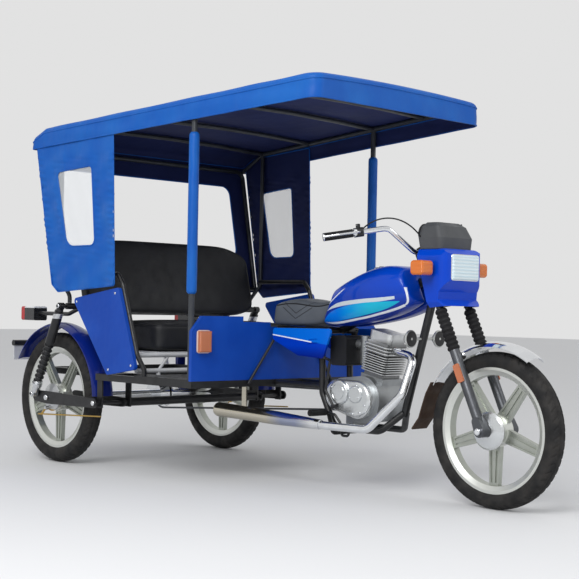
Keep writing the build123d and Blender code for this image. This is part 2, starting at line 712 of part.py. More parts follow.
# the nose is cut along the fork so that clamps and cowl swing past it
TANK_SWING = 108.0
fuel_tank = fuel_tank - FORK * (Pos(300 - TANK_SWING, 0, 700) * Box(600, 400, 700))
head_v = Vector(*backbone_head)
tail_v = Vector(*backbone_tail)
spine = (head_v - tail_v).normalized()
tunnel_r = BACKBONE_D / 2 + FIT
TUNNEL = Plane(origin=tail_v - spine * 60, x_dir=(0, 1, 0), z_dir=spine)
spine_len = (head_v - tail_v).length + 120
tunnel = TUNNEL * Cylinder(tunnel_r, spine_len, align=LOW)
drop = TUNNEL * (Pos(0, -110, 0) * Box(2 * tunnel_r, 220, spine_len, align=LOW))
fuel_tank = fuel_tank - tunnel - drop
CAP_AT = (front(610), 0, 912)
fuel_cap = Pos(CAP_AT) * Cylinder(31, 24, align=LOW)
fuel_tank = fuel_tank + fuel_cap

SEAT_X = (rear(WALL_X) - 4, front(806))
SEAT_Z = 681.0 + FIT
seat_side = [
    (SEAT_X[0], SEAT_Z), (SEAT_X[0] - 2, 788), (SEAT_X[0] + 140, 806), (SEAT_X[0] + 264, 796),
    (SEAT_X[1], 806), (front(890), SEAT_Z),
]
SEAT_HALF = 118.0
driver_seat = plate_y(seat_side, -SEAT_HALF, SEAT_HALF, 12)
seat_notch = [
    (front(890) + 2, SEAT_Z - 60), (front(890) + 2, SEAT_Z), (SEAT_X[1] + 2, 806), (SEAT_X[1] + 2, 900),
    (SEAT_X[0], 900), (SEAT_X[0], SEAT_Z - 60),
]
fuel_tank = fuel_tank - plate_y(seat_notch, -300, 300)

cover_side = [
    (rear(WALL_X) + WALL_T + 26, 672), (front(768), 676), (front(818), 548), (front(970), 556),
    (rear(WALL_X) + WALL_T + 26, 622),
]
side_cover = plate_y(cover_side, -136, -126, 14)
for vent_z in (606, 622):
    vent = [
        (front(905), vent_z), (front(852), vent_z + 4), (front(852), vent_z + 10), (front(905), vent_z + 6),
    ]
    side_cover = side_cover - plate_y(vent, -140, -132)
side_cover = side_cover + cyl_y(front(861), 610, 8, -127, -85 - 14 - FIT)

horn_z = 645.0
t_down = (down_head[2] - horn_z) / (down_head[2] - down_foot[2])
down_x = down_head[0] + t_down * (down_foot[0] - down_head[0])
HORN = Plane(origin=(down_x - 12, -88, horn_z), x_dir=(0, 1, 0), z_dir=(1, 0, 0))
horn_face = Plane.XZ * make_face(Polyline(
    (0, 0), (20, 0), (33, 16), (36, 18), (36, 22), (30, 26), (0, 27), close=True,
))
horn = HORN * revolve(horn_face, Axis.Z) + cyl_y(down_x, horn_z, 6, -70, -17 - FIT)

# Foot controls
peg_z = 326.0
peg_low = 258 - 14 - 8 - FIT
foot_bar = tube(
    [
        (front(765), -262, peg_z), (front(765), -150, peg_z), (front(765), -118, peg_low),
        (front(765), 118, peg_low), (front(765), 150, peg_z), (front(765), 262, peg_z),
    ],
    16, 20,
)
rubbers = [cyl_y(front(765), peg_z, 14, side * 166, side * 258) for side in (-1, 1)]
foot_pegs = whole([foot_bar] + rubbers)
KICK_AT = (front(726), 352.0)
cover_face = -CASE_HALF - 42 - FIT
kick_lever = whole([
    cyl_y(KICK_AT[0], KICK_AT[1], 9, cover_face - 30, cover_face),
    tube(
        [
            (KICK_AT[0], cover_face - 22, KICK_AT[1]),
            (front(770), cover_face - 26, 420),
            (front(742), cover_face - 30, 545),
            (front(742), cover_face - 64, 556),
        ],
        12, 10,
    ),
])
pedal_y = -168.0
brake_pedal = tube(
    [
        (front(755.9), -158, peg_z), (front(716), -158, peg_z - 8), (front(690), pedal_y + 14, 288),
        (front(664), pedal_y, 236), (front(628), pedal_y, 236), (front(618), pedal_y, 290),
    ],
    11, 14,
)
shift_lever = whole([
    cyl_y(front(745), 320, 8, CASE_HALF + FIT, CASE_HALF + 46),
    tube([(front(745), CASE_HALF + 38, 320), (front(650), CASE_HALF + 46, 312)], 11),
    cyl_y(front(654), 312, 9, CASE_HALF + 40, CASE_HALF + 90),
])

# Chassis rails

RAIL_LOW = RAIL_TOP - RAIL
half_rail = RAIL / 2
REAR_FENDER_GAP = 51.0
REAR_FENDER_R = REAR_TYRE_R + REAR_FENDER_GAP
r_edge = REAR_FENDER_R - 16
r_in = r_edge - SKIN
# the rails end behind the fender's rear stay
STAY_DEG = 144.8
stay_r = r_in + 2
STAY_X = stay_r * cos(radians(STAY_DEG)) - REAR_GROWTH
RAIL_TAIL = STAY_X - 19
rails = []
for side in (-1, 1):
    outer_y = side * OUTER_RAIL_Y
    inner_y = side * INNER_RAIL_Y
    rails.append(block(rear(PIVOT_X - 19), rear(WALL_X) + WALL_T, outer_y - half_rail,
                       outer_y + half_rail, RAIL_LOW, RAIL_TOP))
    rails.append(block(rear(RAIL_TAIL), rear(WALL_X) + WALL_T, inner_y - half_rail,
                       inner_y + half_rail, RAIL_LOW, RAIL_TOP))
# station and half length of each cross member
CROSS_MEMBERS = [
    (RAIL_TAIL + half_rail, INNER_RAIL_Y), (415, OUTER_RAIL_Y), (640, OUTER_RAIL_Y), (1045, OUTER_RAIL_Y),
]
for station, half in CROSS_MEMBERS:
    reach_y = half + half_rail
    rails.append(block(rear(station) - half_rail, rear(station) + half_rail, -reach_y, reach_y,
                       RAIL_LOW, RAIL_TOP))
HANGER_T = 8.0
for hang_y in (-OUTER_RAIL_Y, -INNER_RAIL_Y, INNER_RAIL_Y, OUTER_RAIL_Y):
    strip = block(rear(PIVOT_X - 19), rear(PIVOT_X + 19), hang_y - HANGER_T / 2, hang_y + HANGER_T / 2,
                  PIVOT_Z - 22, RAIL_LOW + 2)
    rails.append(strip)
PIVOT_D = 16.0
chassis_rails = whole(rails) - cyl_y(rear(PIVOT_X), PIVOT_Z, PIVOT_D / 2 + BORE_FIT, -700, 700)
EYE_R = 6.5
EYE_Y = 330.0
for side in (-1, 1):
    eye = Pos(rear(CROSS_MEMBERS[0][0]), side * EYE_Y, RAIL_LOW - 1) * Cylinder(EYE_R, RAIL + 2, align=LOW)
    chassis_rails = chassis_rails - eye

FLOOR_X = (640.0 + 18, WALL_X - FIT)
floor_half = OUTER_RAIL_Y + half_rail
floor_plate = block(rear(FLOOR_X[0]), rear(FLOOR_X[1]), -floor_half, floor_half, RAIL_TOP, RAIL_TOP + FLOOR_T)
for side in (-1, 1):
    floor_plate = floor_plate - Pos(rear(POLE_X), side * POLE_Y, RAIL_TOP - 1) * Cylinder(
        POLE_D / 2 + FIT, FLOOR_T + 2, align=LOW)

wall_half = OUTER_RAIL_Y + half_rail
WALL_CUT = 64.0
wall_face = make_face(Polyline(
    (-wall_half, RAIL_TOP), (wall_half, RAIL_TOP), (wall_half, WALL_TOP - WALL_CUT),
    (wall_half - 56, WALL_TOP), (-wall_half + 56, WALL_TOP), (-wall_half, WALL_TOP - WALL_CUT),
    close=True,
))
wall_at = Plane(origin=(rear(WALL_X), 0, 0), x_dir=(0, 1, 0), z_dir=(1, 0, 0))
front_wall = extrude(wall_at * wall_face, amount=WALL_T)
# the top edge dips at the middle, and dips again for the seat's tail
WALL_DIPS = [(288.0, WALL_TOP - 24), (SEAT_HALF + 8, SEAT_Z - 6)]
for dip_half, dip_z in WALL_DIPS:
    front_wall = front_wall - block(
        rear(WALL_X) - 2, rear(WALL_X) + WALL_T + 2, -dip_half, dip_half, dip_z, WALL_TOP + 5,
    )
wall_lamp = block(rear(WALL_X) + WALL_T, rear(WALL_X) + WALL_T + 24, -548, -482, 566, 656)
wall_lamp = fillet(wall_lamp.edges().group_by(Axis.X)[-1], 8)

# Bench

TRUSS_X = 634.0
TRUSS_Z = (466.0, 537.0)
bench = [block(rear(160), rear(640), -CUSHION_HALF, CUSHION_HALF, CUSHION_Z[0] - 6, CUSHION_Z[0])]
for z in TRUSS_Z:
    bench.append(cyl_y(rear(TRUSS_X), z, 11, -545, 545))
for y in (-420, -140, 140, 420):
    bench.append(tube([(rear(TRUSS_X), y, TRUSS_Z[0]), (rear(TRUSS_X), y + 60, TRUSS_Z[1])], 14))
    bench.append(Pos(rear(TRUSS_X), y, RAIL_TOP) * Cylinder(10, 20, align=LOW))
for side in (-1, 1):
    bench.append(block(rear(185), rear(209), side * INNER_RAIL_Y - 12, side * INNER_RAIL_Y + 12,
                       RAIL_TOP, CUSHION_Z[0] - 5))
bench_frame = whole(bench)

cushion = block(rear(195), rear(655), -CUSHION_HALF, CUSHION_HALF, CUSHION_Z[0], CUSHION_Z[1])
bench_cushion = fillet(cushion.edges().filter_by(Axis.Y).group_by(Axis.Z)[-1], 34)

lean = radians(BACK_LEAN)
BACK = Plane(
    origin=(rear(165), 0, CUSHION_Z[1] + 8),
    x_dir=(0, 1, 0),
    z_dir=(cos(lean), 0, sin(lean)),
)
BACK_H = 372.0
back_face = make_face(FilletPolyline(
    (-BACK_HALF, 0), (BACK_HALF, 0), (BACK_HALF, BACK_H), (-BACK_HALF, BACK_H),
    radius=[20, 20, 95, 95], close=True,
))
bench_back = extrude(BACK * back_face, amount=BACK_T)

# Shock tower behind the backrest
lift = TOWER_Z - CUSHION_Z[1] - 8
TOWER_X = 165 - (TOWER_D / 2 + FIT + lift * sin(lean)) / cos(lean)
tower = [cyl_y(rear(TOWER_X), TOWER_Z, TOWER_D / 2, -588, 588)]
SHOCK_STUD_D = 14.0
LAMP_OVER = 39.0
tower.append(cyl_y(rear(TOWER_X), TOWER_Z, SHOCK_STUD_D / 2, -SHOCK_Y - 22, SHOCK_Y + 22))
LAMP_Z = AXLE_Z + REAR_FENDER_R + LAMP_OVER
LAMP_X = -238.0 - 2 * REAR_GROWTH
for side in (-1, 1):
    leg_at = Pos(rear(TOWER_X), side * INNER_RAIL_Y, RAIL_TOP)
    tower.append(leg_at * Cylinder(14, TOWER_Z - RAIL_TOP, align=LOW))
    tower.append(tube(
        [
            (rear(TOWER_X), side * 495, TOWER_Z), (rear(20), side * 495, LAMP_Z),
            (rear(LAMP_X), side * 495, LAMP_Z),
        ],
        20, 60,
    ))
shock_tower = whole(tower)

LAMP_LENS = 34.0
LAMP_LEN = 120.0
tail_body = block(rear(LAMP_X - LAMP_LEN), rear(LAMP_X), -528, -452, LAMP_Z - 36, LAMP_Z + 34)
tail_body = fillet(tail_body.edges().filter_by(Axis.X), 10)
lamp_end = rear(LAMP_X - LAMP_LEN)
lens_zone = block(lamp_end - 1, lamp_end + LAMP_LENS, -600, -400, LAMP_Z - 90, LAMP_Z + 90)
tail_house = tail_body - lens_zone
tail_lens = tail_body & lens_zone
tail_lens = fillet(tail_lens.edges().group_by(Axis.X)[0], 6)

bumper_z = 560.0
bumper_x = -REAR_OVERHANG + 15
bumper = [cyl_y(rear(bumper_x), bumper_z, 15, -552, 552)]
for side in (-1, 1):
    bumper.append(tube(
        [
            (rear(RAIL_TAIL), side * INNER_RAIL_Y, RAIL_TOP - half_rail),
            (rear(RAIL_TAIL - 45), side * INNER_RAIL_Y, RAIL_TOP - half_rail),
            (rear(bumper_x), side * INNER_RAIL_Y, bumper_z),
        ],
        24, 30,
    ))
    bumper.append(block(rear(bumper_x) - 3, rear(bumper_x) + 3, side * 462, side * 548, 476, bumper_z))
rear_bumper = whole(bumper)

# Rear wheels: fenders, arms, dampers, brakes and drive

REAR_FENDER_HALF = 57.0
rear_face = make_face([
    ThreePointArc((r_edge, -REAR_FENDER_HALF), (REAR_FENDER_R, 0), (r_edge, REAR_FENDER_HALF)),
    Line((r_edge, REAR_FENDER_HALF), (r_in, REAR_FENDER_HALF)),
    ThreePointArc((r_in, REAR_FENDER_HALF), (REAR_FENDER_R - SKIN, 0), (r_in, -REAR_FENDER_HALF)),
    Line((r_in, -REAR_FENDER_HALF), (r_edge, -REAR_FENDER_HALF)),
])
REAR_FENDER_DEG = (4.0, 150.0)
rear_arc = revolve(rear_face, Axis.Y, revolution_arc=REAR_FENDER_DEG[1] - REAR_FENDER_DEG[0])
rear_fender = REAR_RIGHT * (Rot(0, -REAR_FENDER_DEG[1], 0) * rear_arc)
bracket_z = RAIL_TOP - 18
fender_in = -HALF_TRACK + REAR_FENDER_HALF
front_run = sqrt((r_in + 2) ** 2 - (bracket_z - AXLE_Z) ** 2)
# station span and height span of each bracket
FENDER_BRACKETS = [
    (rear(STAY_X - 11), rear(STAY_X + 11), bracket_z - 6, AXLE_Z + stay_r * sin(radians(STAY_DEG)) + 8),
    (REAR_AXLE_X + front_run - 9, REAR_AXLE_X + front_run + 9, bracket_z - 6, bracket_z + 6),
]
for x0, x1, z0, z1 in FENDER_BRACKETS:
    rear_fender = rear_fender + block(x0, x1, fender_in - 6, -INNER_RAIL_Y - half_rail - FIT, z0, z1)

outer_arm = hull_y(
    [(rear(PIVOT_X), PIVOT_Z, 22), (REAR_AXLE_X, AXLE_Z, 30), (rear(-96), AXLE_Z + 4, 26)],
    -ARM_OUTER_Y - 4, -ARM_OUTER_Y + 4,
)
inner_arm = hull_y(
    [(rear(PIVOT_X), PIVOT_Z, 22), (REAR_AXLE_X, AXLE_Z, 30)],
    -ARM_INNER_Y - 6, -ARM_INNER_Y + 6,
)
SHOCK_FOOT = (-80.0, 326.0)
shock_stud = cyl_y(rear(SHOCK_FOOT[0]), SHOCK_FOOT[1], SHOCK_STUD_D / 2, -SHOCK_Y - 22, -ARM_OUTER_Y - 3)
axle_bore = cyl_y(REAR_AXLE_X, AXLE_Z, REAR_AXLE_D / 2 + BORE_FIT, -700, 700)
pivot_tube = cyl_y(rear(PIVOT_X), PIVOT_Z, 20, -INNER_RAIL_Y + 6, INNER_RAIL_Y - 6)
pivot_bolt = cyl_y(rear(PIVOT_X), PIVOT_Z, PIVOT_D / 2, -ARM_OUTER_Y - 8, ARM_OUTER_Y + 8)
arms = pair(outer_arm) + pair(inner_arm) + pair(shock_stud)
swing_arm = whole([pivot_tube, pivot_bolt] + arms) - axle_bore

CHAIN_Y = 112.0
REAR_SPROCKET_R = 75.0
FRONT_SPROCKET_R = 38.0
SPROCKET_X = front(777)
SPROCKET_Z = 362.0
rear_axle = whole([
    cyl_y(REAR_AXLE_X, AXLE_Z, REAR_AXLE_D / 2, -ARM_OUTER_Y - 16, ARM_OUTER_Y + 16),
    cyl_y(REAR_AXLE_X, AXLE_Z, 24, -ARM_INNER_Y + 6 + FIT, ARM_INNER_Y - 6 - FIT),
    cyl_y(REAR_AXLE_X, AXLE_Z, 62, CHAIN_Y - 70, CHAIN_Y - 10),
    cyl_y(REAR_AXLE_X, AXLE_Z, REAR_SPROCKET_R - 5, CHAIN_Y - 4, CHAIN_Y + 4),
    cyl_y(REAR_AXLE_X, AXLE_Z, 40, CHAIN_Y - 12, CHAIN_Y),
])


def chain_loop(grow):
    """Chain centre line about both sprockets, grown by half its depth."""
    return hull_y(
        [
            (REAR_AXLE_X, AXLE_Z, REAR_SPROCKET_R + grow),
            (SPROCKET_X, SPROCKET_Z, FRONT_SPROCKET_R + grow),
        ],
        CHAIN_Y - 6, CHAIN_Y + 6,
    )


drive_chain = chain_loop(5) - chain_loop(-4)
drive_sprocket = cyl_y(SPROCKET_X, SPROCKET_Z, FRONT_SPROCKET_R - 4 - FIT, CHAIN_Y - 4, CHAIN_Y + 4)
drive_sprocket = drive_sprocket + cyl_y(SPROCKET_X, SPROCKET_Z, 14, CASE_HALF + FIT, CHAIN_Y + 8)

top_v = Vector(rear(TOWER_X), -SHOCK_Y, TOWER_Z)
foot_v = Vector(rear(SHOCK_FOOT[0]), -SHOCK_Y, SHOCK_FOOT[1])
shock_run = top_v - foot_v
SHOCK_LEN = shock_run.length
SHOCK = Plane(origin=foot_v, x_dir=(0, 1, 0), z_dir=shock_run.normalized())
COIL_COUNT = 9
COIL_D = 8.0
COIL_R = 19.0
COIL_LOW = 58.0
coil_high = 0.58 * SHOCK_LEN
coil_pitch = (coil_high - COIL_LOW) / COIL_COUNT
damper = [
    SHOCK * (Pos(0, 0, 12) * Cylinder(COIL_R - COIL_D / 4, SHOCK_LEN - 24, align=LOW)),
    SHOCK * (Pos(0, 0, COIL_LOW - 12) * Cylinder(25, 12, align=LOW)),
    SHOCK * (Pos(0, 0, coil_high) * Cylinder(22, 0.36 * SHOCK_LEN, align=LOW)),
    cyl_y(top_v.X, top_v.Z, 16, -SHOCK_Y - 13, -SHOCK_Y + 13),
    cyl_y(foot_v.X, foot_v.Z, 16, -SHOCK_Y - 13, -SHOCK_Y + 13),
]
for i in range(COIL_COUNT):
    turn = Pos(0, 0, COIL_LOW + (i + 0.5) * coil_pitch) * Rot(8, 0, 0) * Torus(COIL_R, COIL_D / 2)
    damper.append(SHOCK * turn)
stud_bore = SHOCK_STUD_D / 2 + BORE_FIT
rear_shock = whole(damper)
rear_shock = rear_shock - cyl_y(top_v.X, top_v.Z, stud_bore, -700, -560)
rear_shock = rear_shock - cyl_y(foot_v.X, foot_v.Z, stud_bore, -700, -560)

brake_plate = REAR_RIGHT * ring([
    (REAR_AXLE_D / 2 + BORE_FIT, -HUB_HALF_W - RUN_GAP),
    (66, -HUB_HALF_W - RUN_GAP),
    (66, -HUB_HALF_W - RUN_GAP - 5),
    (28, -HUB_HALF_W - RUN_GAP - 14),
    (REAR_AXLE_D / 2 + BORE_FIT, -HUB_HALF_W - RUN_GAP - 14),
])
plate_y_in = -HALF_TRACK - HUB_HALF_W - RUN_GAP
cam_y = plate_y_in - 24
cam_x, cam_z = REAR_AXLE_X - 20, AXLE_Z - 52
cam = cyl_y(cam_x, cam_z, 9, cam_y - 6, plate_y_in)
cam_arm = tube([(cam_x, cam_y, cam_z), (cam_x - 40, cam_y, cam_z - 33)], 10)
brake_rod = tube([(cam_x - 64, cam_y, cam_z - 33), (rear(430), cam_y, cam_z - 9)], 7)
rear_brake = whole([brake_plate, cam, cam_arm, brake_rod])

# Cabin hoops and arm panels

HOOP_INSET = 35.6
hoop_y = roof_half(556) - HOOP_INSET
arm_hoop = tube(
    [
        (rear(718), -563, RAIL_TOP + FLOOR_T), (rear(718), -563, 476), (rear(690), -hoop_y, 542),
        (rear(577), -hoop_y, 853), (rear(540), -hoop_y, 897), (rear(200), -hoop_y, 897),
    ],
    22, 20,
)
PANEL_T = 16.0
panel_in = hoop_y + 11 + FIT
arm_panel = plate_y(
    [
        (rear(222), 786), (rear(582), 838), (rear(716), 478), (rear(502), RAIL_TOP + 1),
    ],
    -panel_in - PANEL_T, -panel_in, 16,
)

# Canopy

CROWN_HALF = 700.0
CROWN_R = (CROWN_HALF ** 2 + ROOF_CROWN ** 2) / (2 * ROOF_CROWN)


def roof_edge(x):
    """Height of the crown's chord at a station ahead of the rear axle."""
    return ROOF_EDGE_Z[0] + EDGE_SLOPE * (x - ROOF_X[0])


def roof_top(x, y):
    """Height of the roof skin's outside."""
    return roof_edge(x) + ROOF_CROWN - CROWN_R + sqrt(CROWN_R ** 2 - y ** 2)


def roof_block(inset, drop_by, depth):
    """Crowned, sloped and tapered block, inset from the edge and lowered."""
    x0, x1 = ROOF_X[0] + inset, ROOF_X[1] - inset
    h0, h1 = roof_half(ROOF_X[0]) - inset, roof_half(ROOF_X[1]) - inset
    corner = ROOF_CORNER - inset
    plan = FilletPolyline(
        (rear(x0), -h0), (rear(x1), -h1), (rear(x1), h1), (rear(x0), h0),
        radius=[10, corner, corner, 10], close=True,
    )
    column = extrude(Pos(0, 0, 1200) * make_face(plan), amount=700)
    start = ROOF_X[0] - 100
    z0 = roof_edge(start) - drop_by
    section = make_face([
        ThreePointArc((-CROWN_HALF, z0), (0, z0 + ROOF_CROWN), (CROWN_HALF, z0)),
        Line((CROWN_HALF, z0), (CROWN_HALF, z0 - depth)),
        Line((CROWN_HALF, z0 - depth), (-CROWN_HALF, z0 - depth)),
        Line((-CROWN_HALF, z0 - depth), (-CROWN_HALF, z0)),
    ])
    at = Plane(origin=(rear(start), 0, 0), x_dir=(0, 1, 0), z_dir=(1, 0, 0))
    along = Vector(1, 0, EDGE_SLOPE)
    bar = extrude(at * section, amount=ROOF_LEN + 200, dir=along)
    return column & bar


REAR_CUT = [(-60.0, 1546.0), (110.0, 1622.0)]
slope_cut = plate_y(
    [
        (rear(REAR_CUT[0][0] - 85), REAR_CUT[0][1] - 38), (rear(REAR_CUT[1][0] + 85), REAR_CUT[1][1] + 38),
        (rear(REAR_CUT[1][0] + 85), 1800), (rear(-400), 1800), (rear(-400), REAR_CUT[0][1] - 38),
    ],
    -900, 900,
)
roof_out = roof_block(0, 0, VALANCE)
roof_in = roof_block(SKIN, SKIN, VALANCE + 200)
cut_lean = atan2(REAR_CUT[1][1] - REAR_CUT[0][1], REAR_CUT[1][0] - REAR_CUT[0][0])
inner_cut = Pos(SKIN * sin(cut_lean), 0, -SKIN * cos(cut_lean)) * slope_cut
canopy_roof = (roof_out - slope_cut) - (roof_in - inner_cut)

# roof tubes lie just below the skin
TUBE_R = ROOF_TUBE_D / 2
BOW_STATIONS = (150.0, 540.0, POLE_X, 1370.0, 1660.0)
BOW_D = 20.0
tube_drop = SKIN + TUBE_R + 1.0


def side_tube_point(x, side):
    """Point on the roof's side tube."""
    y = roof_half(x) - SIDE_INSET
    return (rear(x), side * y, roof_top(x, y) - tube_drop)


def bow_point(x, share):
    """Point on a roof bow at a share of the way out to the side tube."""
    y = share * (roof_half(x) - SIDE_INSET)
    return (rear(x), y, roof_top(x, y) - tube_drop)


# Rear panel plane: its inside carries the rear hoop
panel_gap = SKIN + FIT
rear_low = Vector(rear(102), 0, 842)
rear_high = Vector(rear(-38), 0, 1500)
up_rear = (rear_high - rear_low).normalized()
BACKWALL = Plane(origin=rear_low, x_dir=(0, 1, 0), z_dir=Vector(0, 1, 0).cross(up_rear))
wall_run = (rear_high - rear_low).length
low_half = roof_half(102) - panel_gap - SKIN - FIT - 10
high_half = roof_half(-38) - panel_gap - SKIN - FIT - 10
hoop_off = SKIN + FIT + TUBE_R
hoop_low = low_half - 14
hoop_high = high_half - 14
rear_hoop = BACKWALL * tube(
    [
        (-hoop_low, 2, hoop_off), (-hoop_high, wall_run - 6, hoop_off),
        (hoop_high, wall_run - 6, hoop_off), (hoop_low, 2, hoop_off),
    ],
    ROOF_TUBE_D, 40,
)
rear_cross = BACKWALL * tube([(-hoop_low, 16, hoop_off), (hoop_low, 16, hoop_off)], BOW_D)

frame = [rear_hoop, rear_cross]
POST_X = BOW_STATIONS[0]
for side in (-1, 1):
    frame.append(tube([side_tube_point(POST_X - 20, side), side_tube_point(BOW_STATIONS[-1], side)],
                      ROOF_TUBE_D))
    pole_top = side_tube_point(POLE_X, side)[2]
    frame.append(Pos(rear(POLE_X), side * POLE_Y, RAIL_TOP) * Cylinder(
        POLE_D / 2, pole_top - RAIL_TOP, align=LOW))
    post_top = side_tube_point(POST_X, side)
    post_foot = TOWER_Z + TOWER_D / 2 + FIT
    frame.append(tube(
        [
            (rear(TOWER_X), side * 570, post_foot), (rear(TOWER_X), side * 570, 800),
            (rear(POST_X), post_top[1] - side * 1, 880), (rear(POST_X), post_top[1] - side * 1, post_top[2]),
        ],
        20, 40,
    ))
    corner = BACKWALL.from_local_coords((side * (hoop_high - 8), wall_run - 14, hoop_off))
    frame.append(tube([corner, side_tube_point(POST_X, side)], 18))
for station in BOW_STATIONS:
    frame.append(tube([bow_point(station, share) for share in (-1, -0.5, 0, 0.5, 1)], BOW_D, 200))
cabin_frame = whole(frame)

sleeve_len = SLEEVE_Z[1] - SLEEVE_Z[0]
sleeve_at = Pos(rear(POLE_X), -POLE_Y, SLEEVE_Z[0])
sleeve_bore = Pos(0, 0, -1) * Cylinder(POLE_D / 2 + FIT, sleeve_len + 2, align=LOW)
pole_sleeve = sleeve_at * (Cylinder(SLEEVE_D / 2, sleeve_len, align=LOW) - sleeve_bore)

# Side panels hang inside the valance along the roof's taper
taper = sqrt(1 + HALF_SLOPE ** 2)
SIDE = Plane(
    origin=(rear(0), -roof_half(0) + panel_gap, 0),
    x_dir=(1 / taper, -HALF_SLOPE / taper, 0),
    z_dir=(-HALF_SLOPE / taper, -1 / taper, 0),
)
side_outline = [(112, 852), (158, 816), (556, 846), (528, 1588), (112, 1570), (-20, 1515)]
window_outline = [(135, 1376), (386, 1393), (418, 1028), (219, 1026)]
side_face = make_face(FilletPolyline(*side_outline, radius=8, close=True))
window_face = make_face(FilletPolyline(*window_outline, radius=[20, 20, 30, 60], close=True))
film_face = offset(window_face, -FIT)
side_panel = extrude(SIDE * side_face, amount=-SKIN) - extrude(SIDE * window_face, amount=-3 * SKIN)
side_window = extrude(SIDE * film_face, amount=-SKIN / 2)

# Rear panel with its open light
rear_outline = [(-low_half, 0), (low_half, 0), (high_half, wall_run), (-high_half, wall_run)]
rear_panel_face = make_face(FilletPolyline(*rear_outline, radius=6, close=True))
light_outline = [
    (-low_half + 100, 190), (low_half - 100, 190),
    (high_half - 110, wall_run - 90), (-high_half + 110, wall_run - 90),
]
light_face = make_face(FilletPolyline(*light_outline, radius=50, close=True))
rear_light = extrude(BACKWALL * light_face, amount=3 * SKIN)
canopy_back = extrude(BACKWALL * rear_panel_face, amount=SKIN) - rear_light

NODES = {
    "front_tyre": [front_tyre],
    "front_rim": [front_rim],
    "rear_tyre_right": [REAR_RIGHT * rear_tyre],
    "rear_rim_right": [REAR_RIGHT * rear_rim],
    "rear_tyre_left": [REAR_LEFT * rear_tyre],
    "rear_rim_left": [REAR_LEFT * rear_rim],
    "fork_sliders": pair(slider),
    "fork_crown": [fork_crown],
    "fork_gaiters": pair(gaiter),
    "front_axle": [front_axle],
    "front_brake_plate": [front_brake_plate],
    "front_fender": [front_fender],
    "front_flap": [front_flap],
    "handlebar": [handlebar],
    "grips": pair(grip),
    "levers": pair(lever),
    "headlight_cowl": [cowl],
    "headlight_lens": [headlight_lens],
    "turn_lamps": pair(turn_lamp),
    "instrument_hood": [instrument_hood],
    "fork_reflectors": pair(reflector),
    "bike_frame": [bike_frame],
    "engine_case": [engine_case],
    "engine_cylinder": [engine_cylinder],
    "engine_covers": engine_covers,
    "air_box": [air_box],
    "carburettor": [carburettor],
    "exhaust": [exhaust],
    "fuel_tank": [fuel_tank],
    "driver_seat": [driver_seat],
    "side_covers": pair(side_cover),
    "horns": pair(horn),
    "foot_pegs": [foot_pegs],
    "foot_levers": [kick_lever, brake_pedal, shift_lever],
    "chassis_rails": [chassis_rails],
    "floor_plate": [floor_plate],
    "front_wall": [front_wall],
    "wall_lamps": pair(wall_lamp),
    "bench_frame": [bench_frame],
    "bench_cushion": [bench_cushion],
    "bench_back": [bench_back],
    "shock_tower": [shock_tower],
    "tail_lamps": pair(tail_house) + pair(tail_lens),
    "rear_bumper": [rear_bumper],
    "rear_fenders": pair(rear_fender),
    "swing_arm": [swing_arm],
    "rear_axle": [rear_axle],
    "drive_chain": [drive_chain],
    "drive_sprocket": [drive_sprocket],
    "rear_shocks": pair(rear_shock),
    "rear_brakes": pair(rear_brake),
    "arm_hoops": pair(arm_hoop),
    "arm_panels": pair(arm_panel),
    "canopy_roof": [canopy_roof],
    "cabin_frame": [cabin_frame],
    "pole_sleeves": pair(pole_sleeve),
    "canopy_sides": pair(side_panel),
    "side_windows": pair(side_window),
    "canopy_back": [canopy_back],
}

for name, shapes in NODES.items():
    solids = [Pos(0, 0, -GROUND) * solid for shape in shapes for solid in shape.solids()]
    export_step(Compound(label=name, children=solids), f"parts/{name}.step")
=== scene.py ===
import math
import bpy
import numpy as np
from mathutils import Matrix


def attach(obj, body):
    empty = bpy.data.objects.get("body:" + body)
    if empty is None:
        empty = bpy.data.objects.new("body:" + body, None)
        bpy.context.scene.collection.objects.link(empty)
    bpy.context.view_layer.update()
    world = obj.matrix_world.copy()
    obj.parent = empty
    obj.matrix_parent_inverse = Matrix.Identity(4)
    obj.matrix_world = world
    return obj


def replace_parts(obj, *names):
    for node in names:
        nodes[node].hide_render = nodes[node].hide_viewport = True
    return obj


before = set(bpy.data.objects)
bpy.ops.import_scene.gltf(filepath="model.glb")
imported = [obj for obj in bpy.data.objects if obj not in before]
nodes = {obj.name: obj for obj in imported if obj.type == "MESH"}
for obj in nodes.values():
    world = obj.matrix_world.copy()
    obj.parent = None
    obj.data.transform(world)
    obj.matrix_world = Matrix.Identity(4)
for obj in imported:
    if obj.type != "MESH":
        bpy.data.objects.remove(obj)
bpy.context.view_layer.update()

scene = bpy.context.scene
TAU = 2 * math.pi

# Stations in metres, as in the part's source: the axles along X, half the rear track,
# and the radii of the tyres
REAR_X, FRONT_X = -1.06025, 1.15675
HALF_TRACK = 0.517
REAR_R, FRONT_R = 0.311, 0.3035
SIDES = ((-1, "right"), (1, "left"))


def arr(*values):
    """Values as a float array."""
    return np.array(values, float)


def unit(vectors):
    """Vectors scaled to a length of 1."""
    return vectors / np.linalg.norm(vectors, axis=-1, keepdims=True)


# Meshes

def cells_of(index):
    """Corner numbers of every cell between two rows and two columns of a grid of numbers."""
    corners = [index[..., :-1, :-1], index[..., 1:, :-1], index[..., 1:, 1:], index[..., :-1, 1:]]
    return np.stack(corners, -1).reshape(-1, 4)


